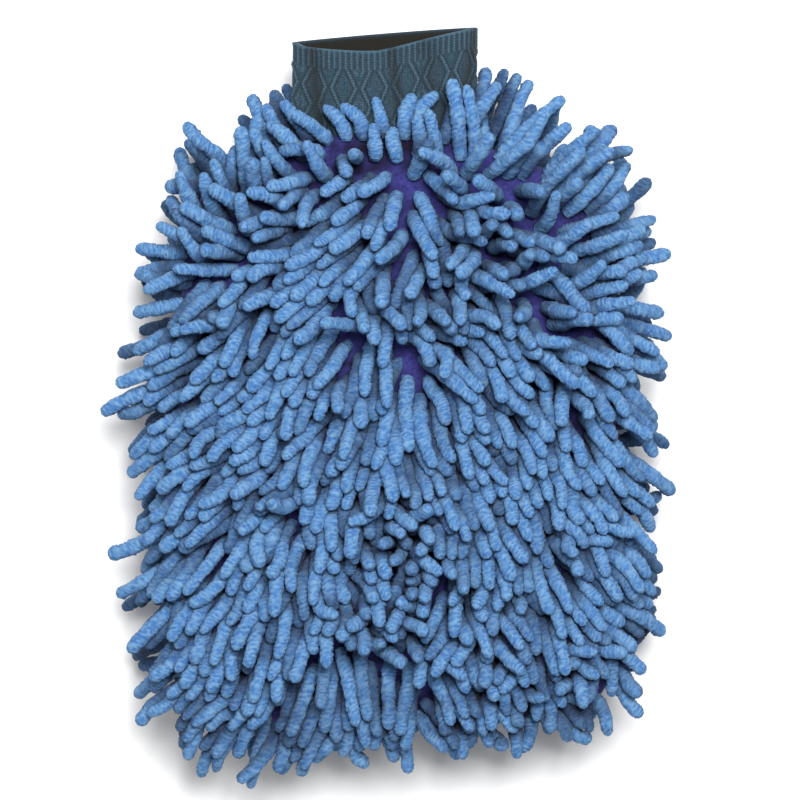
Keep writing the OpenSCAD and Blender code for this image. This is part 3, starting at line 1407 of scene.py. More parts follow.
    def _openness_for_painted_shade(self, beads: Array) -> Array:
        """Tell how open to the outside each bead is, for the painted shade between noodles.

        Args:
            beads: Bead centres of every noodle.

        Returns:
            One number a bead, from 0 for buried to 1 for open.
        """
        strands, count = beads.shape[:2]
        flat = beads.reshape(-1, 3)
        _, out = self.bag.clearance(flat)
        first, second = near_pairs(flat, np.repeat(np.arange(strands), count), self.shade_reach)
        gap = flat[second] - flat[first]
        away = np.maximum(np.linalg.norm(gap, axis=-1), self.radius)
        over = np.clip((gap * out[first]).sum(-1) / away, 0.0, 1.0)
        under = np.clip(-(gap * out[second]).sum(-1) / away, 0.0, 1.0)
        cover = np.bincount(first, over**2, len(flat)) + np.bincount(second, under**2, len(flat))
        return np.exp(-self.shade * cover).reshape(strands, count)

    def _wander(self, spots: Array, rng: Random) -> Array:
        """Smooth waves in the brushing, shared by neighbouring noodles.

        Args:
            spots: X and Y of the roots.
            rng: Source of the waves.

        Returns:
            One X and Y slope a row.
        """
        total = np.zeros_like(spots)
        for wavelength in self.waves:
            for _ in range(3):
                heading, phase, bearing = rng.uniform(0.0, 2 * np.pi, 3)
                wave = np.array([math.cos(heading), math.sin(heading)]) * 2 * np.pi / wavelength
                push = np.array([math.cos(bearing), math.sin(bearing)])
                total += np.sin(spots @ wave + phase)[:, None] * push
        return self.wave_slope * total / 3.0

    def surface(self, beads: Array, light: Array, rng: Random, parts: MeshParts) -> None:
        """Build the ridged, fuzzy skins of a batch of noodles.

        Args:
            beads: Bead centres of each noodle.
            light: How open each bead is, for the painted shade.
            rng: Source of the small irregularities.
            parts: Mesh that the skins are added to.
        """
        strands = len(beads)
        reach = np.linalg.norm(np.diff(beads, axis=1), axis=-1).sum(1)
        rings = int(round(float(reach.mean() + self.tip) / self.ridge)) + 2
        distance = np.linspace(0.0, 1.0, rings)[None, :] * (reach + self.tip)[:, None]
        share = np.clip(distance / reach[:, None], 0.0, 1.0)
        line, tangent = self._curve(beads, share)
        past = np.clip(distance - reach[:, None], 0.0, None)
        line = line + past[..., None] * tangent[:, -1:, :]
        swell = np.ones_like(distance)
        phases = rng.uniform(0.0, 2 * np.pi, (strands, 2))
        for (height, run), phase in zip(self.lumps, phases.T):
            swell = swell + height * np.sin(distance / run + phase[:, None])
        size = self.radius * rng.normal(1.0, self.girth_spread, (strands, 1))
        thin = 1.0 - self.taper * rng.uniform(0.0, 1.0, (strands, 1)) * smooth(share * 2.2 - 1.2)
        cap = np.sqrt(np.clip(1.0 - (past / self.tip) ** 2, 0.0, 1.0))
        root = self.root_girth + (1 - self.root_girth) * distance / self.radius
        cap = np.where(distance < self.radius, root, cap)
        angle = np.arange(self.sides) * 2 * np.pi / self.sides
        angle = angle + 0.5 * angle[1] * (np.arange(rings) % 2)[None, :, None]
        relief = self._relief(cap, angle, rng)
        spread = (cap * size * swell * thin)[..., None] + relief
        points = skin_points(line, tangent, spread, angle)
        quads = grid_quads(rings, self.sides, wrap=True)
        firsts = np.arange(strands) * rings * self.sides
        tint = np.broadcast_to(rng.uniform(0.0, 1.0, (strands, 1, 1)), relief.shape)
        parts.add(
            points.reshape(-1, 3),
            (quads[None] + firsts[:, None, None]).reshape(-1, 4),
            # Painted shade between the noodles and on their flanks that face the cloth.
            depth=self._painted_light_on_skin(beads, light, share, points - line[:, :, None]).ravel(),
            tint=tint.ravel(),
            # Painted highlight on the ridge crests, stronger where the relief stands higher.
            pile=np.clip(0.5 + 0.5 * relief / (1.6 * self.ridge_depth), 0.0, 1.0).ravel(),
        )

    def _relief(self, cap: Array, angle: Array, rng: Random) -> Array:
        """Height of the skins' ridges and fuzz.

        Args:
            cap: Share of the girth that is left, by noodle and ring.
            angle: Angle of each point, by noodle, ring and side.
            rng: Source of the irregularities.

        Returns:
            One height a point.
        """
        strands, rings = cap.shape
        relief = rng.normal(self.ring_share, self.ring_spread, (strands, rings, 1))
        for lobes in self.lobes:
            swing = rng.normal(0.0, 1.0, (strands, rings)).cumsum(1)
            swing = swing + rng.uniform(0.0, 2 * np.pi, (strands, 1))
            relief = relief + self.lobe_height * np.cos(lobes * angle + swing[..., None])
        zigzag = np.where(np.arange(rings) % 2 == 0, 1.0, -1.0)[None, :, None]
        relief = zigzag * relief * self.ridge_depth
        relief = relief + rng.normal(0.0, self.fuzz, relief.shape)
        return relief * smooth(cap * 2 - 0.4)[..., None]

    def _painted_light_on_skin(self, beads: Array, light: Array, share: Array, away: Array) -> Array:
        """Painted light at each point of the skins: painted shade between noodles and on the flanks
        that face the cloth.

        Args:
            beads: Bead centres of each noodle.
            light: How open each bead is, for the painted shade.
            share: How far along its noodle each ring is.
            away: Way from the noodle's middle to each point.

        Returns:
            From 0 for full painted shade to 1 for none, by noodle, ring and side.
        """
        place = share * (beads.shape[1] - 1)
        index = np.clip(place.astype(int), 0, beads.shape[1] - 2)
        pick = np.arange(len(beads))[:, None]
        open_to = light[pick, index] * (index + 1 - place) + light[pick, index + 1] * (place - index)
        _, out = self.bag.clearance(beads.reshape(-1, 3))
        out = out.reshape(beads.shape)[pick, index][:, :, None]
        facing = smooth(0.5 + 0.7 * (unit(away) * out).sum(-1))
        return open_to[..., None] * (self.flank + (1.0 - self.flank) * facing)

    @staticmethod
    def _curve(beads: Array, share: Array) -> tuple[Array, Array]:
        """Follow a smooth curve through the beads.

        Args:
            beads: Bead centres of each noodle.
            share: How far along each noodle to read, from 0 to 1.

        Returns:
            Points and unit tangents.
        """
        count = beads.shape[1]
        padded = np.concatenate(
            [2 * beads[:, :1] - beads[:, 1:2], beads, 2 * beads[:, -1:] - beads[:, -2:-1]], axis=1
        )
        place = share * (count - 1)
        index = np.clip(np.floor(place).astype(int), 0, count - 2)
        t = (place - index)[..., None]
        pick = np.arange(len(beads))[:, None]
        p0, p1, p2, p3 = (padded[pick, index + k] for k in range(4))
        line = 0.5 * (
            2 * p1
            + (p2 - p0) * t
            + (2 * p0 - 5 * p1 + 4 * p2 - p3) * t**2
            + (3 * p1 - p0 - 3 * p2 + p3) * t**3
        )
        tangent = 0.5 * (
            (p2 - p0)
            + 2 * (2 * p0 - 5 * p1 + 4 * p2 - p3) * t
            + 3 * (3 * p1 - p0 - 3 * p2 + p3) * t**2
        )
        return line, unit(tangent)

    def build(self, material: Material) -> Array:
        """Settle the pile and make one piece of each double row.

        Args:
            material: The chenille.

        Returns:
            All bead centres, one row each.
        """
        settled = self.settle()
        rng = np.random.default_rng(self.seed + 1)
        for side, number in itertools.product(Side, range(1, self.strips + 1)):
            beads, light, strip = settled[side]
            mine = strip == number
            parts = MeshParts()
            self.surface(beads[mine], light[mine], rng, parts)
            name, node = f"{side.label}_noodles_{number:02d}", f"{side.label}_pile_{number:02d}"
            piece = parts.install(name, node, material, "chenille")
            if side is Side.FRONT and number > self.strips - self.bending_strips:
                bend_with_cuff(piece)
            else:
                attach(piece, "mitt")
        return np.concatenate([settled[side][0].reshape(-1, 3) for side in Side])


# --- Cloths ---


@dataclass
class BagCloths:
    """The backing cloths and linings of both panels.

    Attributes:
        bag: The bag that they make.
        beads: Bead centres of the noodles that cover it.
        lining_inset: Depth of the linings under the skin.
        lining: Thickness of the linings.
        lining_stop: How far short of the mouth the linings end.
        pucker: Depth of the puckers along the stitching.
        wrinkle: Depth of the linings' wrinkles.
        edge_run: Length in which both fade out at the finger seam.
        rows: Rows of points in each cloth.
        columns: Points in a row.
        painted_shade_reach: How far off a noodle still paints shade on the cloth.
        painted_shade_free: Number of beads within that reach that leave it without painted shade.
        painted_shade_full: Number that give it full painted shade.
    """

    bag: BagShape
    beads: Array
    lining_inset: float = 1.7 * MM
    lining: float = 0.8 * MM
    lining_stop: float = 9 * MM
    pucker: float = 0.35 * MM
    wrinkle: float = 0.5 * MM
    edge_run: float = 10 * MM
    rows: int = 130
    columns: int = 97
    painted_shade_reach: float = 7.5 * MM
    painted_shade_free: float = 4.0
    painted_shade_full: float = 14.0

    def _noodle_painted_shade(self, points: Array) -> Array:
        """Tell how much painted shade the noodles put on the cloth.

        Args:
            points: Points of the cloth, one row each.

        Returns:
            One number a point, from 0 for no painted shade to 1 for full.
        """
        tree = KDTree(len(self.beads))
        for number, bead in enumerate(self.beads):
            tree.insert(bead, number)
        tree.balance()
        count = np.array([len(tree.find_range(point, self.painted_shade_reach)) for point in points])
        return smooth((count - self.painted_shade_free) / (self.painted_shade_full - self.painted_shade_free))

    def _panel(
        self, side: Side, outer: float, thick: float, stop: float, relief: float, wrinkled: bool
    ) -> MeshParts:
        """Loft a closed panel.

        Args:
            side: The panel.
            outer: Depth of its outer face under the skin.
            thick: Thickness of the cloth.
            stop: How far short of the mouth it ends.
            relief: Height of its puckers or wrinkles.
            wrinkled: Whether the relief is loose wrinkles and not rows of stitching.

        Returns:
            The closed mesh.
        """
        bag = self.bag
        stations = np.linspace(max(outer, 0.2 * MM), bag.length - stop, self.rows)
        angles = np.linspace(0.0, np.pi, self.columns)
        s, a = np.meshgrid(stations, angles, indexing="ij")
        if wrinkled:
            wave = np.sin(s / (17 * MM) + 2.1 * a) * np.sin(s / (9 * MM) - 3.3 * a + 1.0)
            wave = wave + 0.6 * np.sin(5.0 * a + s / (23 * MM))
        else:
            wave = -np.cos(2 * np.pi * (s - FIRST_ROW) / ROW_PITCH)
        edge = np.sin(a) ** 0.5 * smooth((s - stations[0]) / self.edge_run)
        dip = relief * edge * (0.5 - 0.5 * wave / 1.6)
        parts = MeshParts()
        flip = side is Side.BACK
        skin = bag.section(s, a, side, outer + dip).reshape(-1, 3)
        inner = bag.section(s, a, side, outer + dip + thick).reshape(-1, 3)
        # Painted shade on the backing cloth where noodles crowd over it.
        cover = np.zeros(len(skin)) if wrinkled else self._noodle_painted_shade(skin)
        parts.add(skin, grid_quads(self.rows, self.columns, flip=not flip), cover=cover)
        parts.add(inner, grid_quads(self.rows, self.columns, flip=flip), cover=cover)
        parts.join_borders(self.rows, self.columns, flip)
        return parts

    def build(self, cloth: Material, lining: Material) -> None:
        """Make the four cloths.

        Args:
            cloth: Finish of the two backing cloths.
            lining: Finish of the two linings.
        """
        inset, thick, stop = self.lining_inset, self.lining, self.lining_stop
        for side in Side:
            name = side.label
            parts = self._panel(side, 0.0, self.bag.cloth, 0.0, self.pucker, False)
            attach(parts.install(f"{name}_backing", f"{name}_cloth", cloth, "base_cloth"), "mitt")
            parts = self._panel(side, inset, thick, stop, self.wrinkle, True)
            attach(parts.install(f"{name}_lining_cloth", f"{name}_lining", lining, "lining"), "mitt")


# --- Cuff ---


@dataclass(frozen=True)
class Crease:
    """A soft hollow that runs down the knit.

    Attributes:
        top_x: X at the rim, in millimetres.
        low_x: X at its lower end, in millimetres.
        width: Its half-width, in millimetres.
        depth: Its depth, in millimetres.
        front: Whether it is on the front of the tube.
        run: Distance below the rim in which it comes to its lower X.
    """

    top_x: float
    low_x: float
    width: float
    depth: float
    front: bool = True
    run: float = 30 * MM

    def hollow(self, spot: Array, below: Array, mid_z: float) -> Array:
        """Depth of the hollow.

        Args:
            spot: X and Z round the tube.
            below: Distance below the rim, by row and place.
            mid_z: Height of the tube's folds.

        Returns:
            Depth at each row and place.
        """
        centre = self.top_x + (self.low_x - self.top_x) * np.clip(below / self.run, 0.0, 1.0)
        across = (spot[None, :, 0] - centre * MM) / (self.width * MM)
        facing = (spot[:, 1] > mid_z) == self.front
        return self.depth * MM * np.exp(-(across**2)) * facing[None]


@dataclass
class KnittedCuff:
    """The knitted tube: ribbed band, raised lattice, elastic and the dip of its front rim.

    Attributes:
        sewn_y: Where the knit starts, inside the mouth.
        rim_y: The high end of the rim.
        left: Left fold of the tube.
        right: Right fold of the tube.
        mid_z: Height of the folds.
        half_height: Half-height of the open tube.
        fold_power: 1 rounds the tube like an ellipse, and more makes its folds sharper.
        slant: Slope of the rim.
        band: Width of the ribbed band.
        knit: Thickness of the knit.
        rib_pitch: Spacing of the ribs.
        rib_height: Height of a rib.
        zigzag_pitch: Spacing of the lattice's pairs of zigzags.
        zigzag_gap: Least distance between the two zigzags of a pair.
        zigzag_swing: How far each zigzag swings sideways.
        zigzag_run: Length of one swing along the cuff.
        line: Half-width of a zigzag's raised line.
        line_height: Height of that line.
        bead: Spacing of the stitches along it.
        furrow: Depth of the hollow on each side of it.
        dip: Depth of the V in the front rim.
        dip_x: Place of the V.
        dip_bends: How the V's left and right sides bend: 1 is straight.
        dip_soft: Distance in which its point is rounded.
        back_bow: How far the back rim bows up in the middle.
        nest_in: How far inside a wide diamond its nested lines lie.
        nest_from: Half-width of a diamond from which they show.
        wale_pitch: Spacing of the ground's wales.
        wale_height: Height of a wale.
        course_height: Height of a course.
        band_edge: Length in which the ribs give way to the lattice.
        roll: Length of the rim's rolled edge.
        rim_round: Length in which the knit thickens below the rim.
        painted_light_reach_in: How far the painted light from the rim reaches into the tube.
        inner_relief: Share of the relief that shows on the inside.
        crease_shade: Share of a crease's depth that darkens it, as painted shade.
        step: Size of the mesh's cells.
        elastic: Thickness of the elastic.
        channel: Thickness of the channel that holds it.
        channel_end: How far short of the band's edges the channel stops.
        elastic_end: How far short of the channel's edges the elastic stops.
        creases: Hollows in the knit.
    """

    sewn_y: float
    rim_y: float
    left: float
    right: float
    mid_z: float
    half_height: float
    fold_power: float = 1.5
    slant: float = 0.080
    band: float = 7.3 * MM
    knit: float = 1.7 * MM
    rib_pitch: float = 2.1 * MM
    rib_height: float = 0.55 * MM
    zigzag_pitch: float = 11.4 * MM
    zigzag_gap: float = 2.3 * MM
    zigzag_swing: float = 3.1 * MM
    zigzag_run: float = 6.7 * MM
    line: float = 0.50 * MM
    line_height: float = 0.60 * MM
    bead: float = 0.95 * MM
    furrow: float = 0.30 * MM
    dip: float = 6.2 * MM
    dip_x: float = -7.5 * MM
    dip_bends: tuple[float, float] = (0.6, 1.15)
    dip_soft: float = 4 * MM
    back_bow: float = 0.8 * MM
    nest_in: float = 2.6 * MM
    nest_from: float = 3.3 * MM
    wale_pitch: float = 1.05 * MM
    wale_height: float = 0.07 * MM
    course_height: float = 0.05 * MM
    band_edge: float = 0.5 * MM
    roll: float = 0.9 * MM
    rim_round: float = 1.2 * MM
    painted_light_reach_in: float = 1.1 * MM
    inner_relief: float = 0.4
    crease_shade: float = 0.3
    step: float = 0.31 * MM
    elastic: float = 0.6 * MM
    channel: float = 0.7 * MM
    channel_end: float = 1.2 * MM
    elastic_end: float = 0.1 * MM
    creases: tuple[Crease, ...] = (
        Crease(-31.5, -29.5, 2.6, 1.2),
        Crease(-2.5, 1.0, 2.0, 1.0),
        Crease(29.0, 24.0, 2.4, 1.2),
        Crease(10.0, 14.0, 3.5, 0.6),
        Crease(-14.0, -10.0, 3.0, 0.8, False),
    )

    @classmethod
    def from_frame(cls) -> "KnittedCuff":
        """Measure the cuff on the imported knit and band."""
        low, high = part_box("cuff_knit")
        _, band_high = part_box("cuff_band")
        return cls(
            sewn_y=low.y,
            rim_y=band_high.y,
            left=low.x,
            right=high.x,
            mid_z=(low.z + high.z) / 2,
            half_height=(high.z - low.z) / 2,
        )

    def ring(self) -> tuple[Array, Array, Array]:
        """Walk once round the tube's middle surface in even steps.

        Returns:
            Points as X and Z, outward directions, and distances round the tube.
        """
        centre, half = (self.left + self.right) / 2, (self.right - self.left) / 2
        t = np.linspace(0.0, 2 * np.pi, 4001)
        x = centre + (half - self.knit / 2) * np.cos(t)
        lift = np.sign(np.sin(t)) * np.abs(np.sin(t)) ** self.fold_power
        z = self.mid_z + (self.half_height - self.knit / 2) * lift
        arc = np.concatenate([[0.0], np.cumsum(np.hypot(np.diff(x), np.diff(z)))])
        ribs = round(arc[-1] / self.rib_pitch)
        count = ribs * round(self.rib_pitch / self.step)
        place = np.arange(count) * arc[-1] / count
        spot = np.stack([np.interp(place, arc, x), np.interp(place, arc, z)], axis=-1)
        for _ in range(6):
            spot = 0.5 * spot + 0.25 * (np.roll(spot, 1, axis=0) + np.roll(spot, -1, axis=0))
        ahead = np.roll(spot, -1, axis=0) - np.roll(spot, 1, axis=0)
        out = unit(np.stack([ahead[:, 1], -ahead[:, 0]], axis=-1))
        return spot, out, place * ribs * self.rib_pitch / arc[-1]

    def rim(self, spot: Array) -> Array:
        """Height of the rim, along Y, above each point of the ring.

        Args:
            spot: X and Z round the tube.

        Returns:
            Y of the rim at each point.
        """
        straight = self.rim_y - self.slant * (self.right - spot[:, 0])
        up = (spot[:, 1] - self.mid_z) / self.half_height
        left_run = (spot[:, 0] - self.left) / (self.dip_x - self.left)
        right_run = (self.right - spot[:, 0]) / (self.right - self.dip_x)
        left_bend, right_bend = self.dip_bends
        notch = np.minimum(np.clip(left_run, 0, 1) ** left_bend, np.clip(right_run, 0, 1) ** right_bend)
        soft = notch - 0.05 * np.exp(-(((spot[:, 0] - self.dip_x) / self.dip_soft) ** 2))
        bow = self.back_bow * np.clip(-up, 0.0, 1.0)
        return straight - self.dip * soft * smooth(up * 3.0) + bow

    def lattice(self, around: Array, below: Array) -> Array:
        """Height of the raised zigzags, as a share of a line's full height.

        Args:
            around: Distance round the tube.
            below: Distance below the band.

        Returns:
            From 0 on the ground to 1 on a stitch.
        """
        swing = below / self.zigzag_run + 1.0
        swing = np.abs(swing - 2.0 * np.round(swing / 2.0))
        apart = self.zigzag_gap / 2 + self.zigzag_swing * swing
        beads = 0.55 + 0.45 * np.cos(2 * np.pi * below / self.bead)
        off = around - self.zigzag_pitch * np.round(around / self.zigzag_pitch)
        lines = np.zeros_like(around)
        sunk = np.zeros_like(around)
        for place in (off - apart, off + apart):
            lines = np.maximum(lines, np.exp(-((place / self.line) ** 2)) * beads)
            beside = (np.abs(place) - 2.1 * self.line) / (0.8 * self.line)
            sunk = np.maximum(sunk, np.exp(-(beside**2)))
        second = np.mod(np.round(around / self.zigzag_pitch), 2) == 0
        inner = np.abs(np.abs(off) - (apart - self.nest_in))
        nested = np.exp(-((inner / self.line) ** 2)) * beads * (apart > self.nest_from) * second
        return np.maximum(lines, 0.8 * nested) - sunk * self.furrow / self.line_height

    def relief(self, around: Array, below: Array) -> Array:
        """Height of the knitted pattern.

        Args:
            around: Distance round the tube.
            below: Distance below the rim.

        Returns:
            Height above the knit's ground.
        """
        rib = 0.5 + 0.5 * np.cos(2 * np.pi * around / self.rib_pitch)
        beads = 0.7 + 0.3 * np.cos(2 * np.pi * below / self.bead)
        ribs = self.rib_height * (1.35 * rib**2 * beads - 0.35)
        lattice = self.line_height * self.lattice(around, below - self.band)
        wales = self.wale_height * np.cos(2 * np.pi * around / self.wale_pitch)
        courses = self.course_height * np.cos(2 * np.pi * below / self.bead)
        in_band = smooth((self.band - below) / self.band_edge + 0.5)
        roll = np.exp(-((below / self.roll) ** 2))
        pattern = in_band * ribs + (1 - in_band) * (lattice + wales + courses)
        return (1 - roll) * pattern + roll * 0.6 * self.rib_height

    @staticmethod
    def _shifted(spot: Array, out: Array, y: Array, shift: Array) -> Array:
        """Points at places along Y, shifted out from the tube's middle surface."""
        place = spot[None] + out[None] * shift[..., None]
        return np.stack([place[..., 0], y, place[..., 1]], axis=-1)

    def _wall(
        self, bottom: Array, top: Array, rows: int, offset: float, inside: bool
    ) -> tuple[Array, Array]:
        """Points of one face of the tube.

        Args:
            bottom: Y of its lower edge round the tube.
            top: Y of its upper edge.
            rows: Rows of points along it.
            offset: Distance from the middle surface.
            inside: Whether it is the face towards the wrist.

        Returns:
            Points by row and place, and the pattern's height there, lowered in creases for their
            painted shade.
        """
        spot, out, around = self.ring()
        share = np.linspace(0.0, 1.0, rows)[:, None]
        y = bottom[None] + (top - bottom)[None] * share
        below = self.rim(spot)[None] - y
        wide = np.broadcast_to(around[None], y.shape)
        if inside:
            wide = wide + self.rib_pitch / 2
        height = self.relief(wide, below) * (self.inner_relief if inside else 1.0)
        sink = sum(crease.hollow(spot, below, self.mid_z) for crease in self.creases)
        rounded = smooth(0.35 + below / self.rim_round)
        shift = (-1 if inside else 1) * (offset * rounded + height) - sink
        return self._shifted(spot, out, y, shift), height - self.crease_shade * sink

    def _tube(self, bottom: Array, top: Array, rows: int, inner_rows: int) -> MeshParts:
        """Build a closed stretch of the tube.

        Args:
            bottom: Y of its lower edge round the tube.
            top: Y of its upper edge.
            rows: Rows of points on its outer face.
            inner_rows: Rows of points on its inner face.

        Returns:
            The closed mesh.
        """
        outer, height = self._wall(bottom, top, rows, self.knit / 2, False)
        inner, _ = self._wall(bottom, top, inner_rows, self.knit / 2, True)
        columns = outer.shape[1]
        # Painted highlight on raised ribs and stitches, painted shade in grooves, furrows and creases.
        raised = height / self.line_height
        parts = MeshParts()
        parts.add(
            outer.reshape(-1, 3),
            grid_quads(rows, columns, wrap=True),
            depth=np.clip(0.78 + 0.8 * raised, 0.25, 1.0).ravel(),
            tint=np.full(rows * columns, 0.2),
            pile=np.clip(raised, 0.0, 1.0).ravel(),
        )
        # Inside the tube: painted shade, with painted light near the rim; the tint darkens it further.
        rim_y = self.rim(self.ring()[0])[None]
        rim_painted_light = np.exp(-((rim_y - inner[..., 1]) / self.painted_light_reach_in) ** 2)
        parts.add(
            inner.reshape(-1, 3),
            grid_quads(inner_rows, columns, wrap=True, flip=True),
            depth=(0.06 + 0.5 * rim_painted_light).ravel(),
            tint=np.full(inner_rows * columns, 0.8),
            pile=0.4 * rim_painted_light.ravel(),
        )
        far = rows * columns
        parts.join_rings(0, far, columns, True)
        parts.join_rings((rows - 1) * columns, far + (inner_rows - 1) * columns, columns, False)
        return parts

    def _add_sleeve(
        self, parts: MeshParts, thick: float, ends: float, rows: int, cavity: bool
    ) -> None:
        """Add a plain closed sleeve in the middle of the band.

        Args:
            parts: Mesh that the sleeve is added to.
            thick: Its thickness.
            ends: How far short of both edges of the band it stops.
            rows: Rows of points along it.
            cavity: Whether its faces turn inwards, as the walls of a hollow.
        """
        spot, out, _ = self.ring()
        rim = self.rim(spot)
        share = np.linspace(0.0, 1.0, rows)[:, None]
        y = (rim - self.band + ends)[None] + (self.band - 2 * ends) * share
        sink = sum(crease.hollow(spot, rim[None] - y, self.mid_z) for crease in self.creases)
        columns = len(spot)
        first = parts.count
        for way in (1, -1):
            shift = way * thick / 2 - sink
            face = self._shifted(spot, out, y, shift).reshape(-1, 3)
            quads = grid_quads(rows, columns, wrap=True, flip=(way < 0) != cavity)
            # A fixed painted light: mostly painted shade where the material reads it.
            parts.add_plain(face, quads, 0.3)
        far = first + rows * columns
        last = (rows - 1) * columns
        parts.join_rings(first, far, columns, not cavity)
        parts.join_rings(first + last, far + last, columns, cavity)

    def build(self, knit: Material, elastic: Material) -> None:
        """Make the patterned knit, the ribbed band, its elastic and the tube's own seam.

        Args:
            knit: Finish of the knit.
            elastic: Finish of the elastic.
        """
        rim = self.rim(self.ring()[0])
        join = rim - self.band
        sewn = np.full(len(rim), self.sewn_y)
        rows = round((self.rim_y - self.sewn_y - self.band) / self.step)
        body = self._tube(sewn, join, rows, rows // 4)
        bend_with_cuff(body.install("cuff_lattice_knit", "cuff_knit", knit, "knit"))
        band_rows = round(self.band / self.step)
        band = self._tube(join, rim, band_rows, band_rows)
        self._add_sleeve(band, self.channel, self.channel_end, 4, True)
        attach(band.install("cuff_ribbed_band", "cuff_band", knit, "knit"), "cuff")
        strip = MeshParts()
        self._add_sleeve(strip, self.elastic, self.channel_end + self.elastic_end, 12, False)
        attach(strip.install("cuff_elastic_strip", "cuff_elastic", elastic, "elastic"), "cuff")
        bend_with_cuff(self._seam().install("cuff_rolled_seam", "cuff_side_seam", knit, "knit"))

    @staticmethod
    def _seam() -> MeshParts:
        """Sew the tube's own seam, a rolled edge inside its right-hand fold.

        Returns:
            The seam's mesh.
        """
        low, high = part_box("cuff_side_seam")
        x, z = (low.x + high.x) / 2, (low.z + high.z) / 2
        y = np.linspace(low.y, high.y - 5 * MM, 180)
        path = np.stack([x + 0.25 * MM * np.sin(y / (3.1 * MM)), y, np.full_like(y, z)], axis=-1)
        loops = 1.0 + 0.16 * np.cos(2 * np.pi * y / (1.5 * MM))
        parts = MeshParts()
        add_cord(parts, path, 0.75 * MM * loops, 12)
        return parts


# --- Seams ---


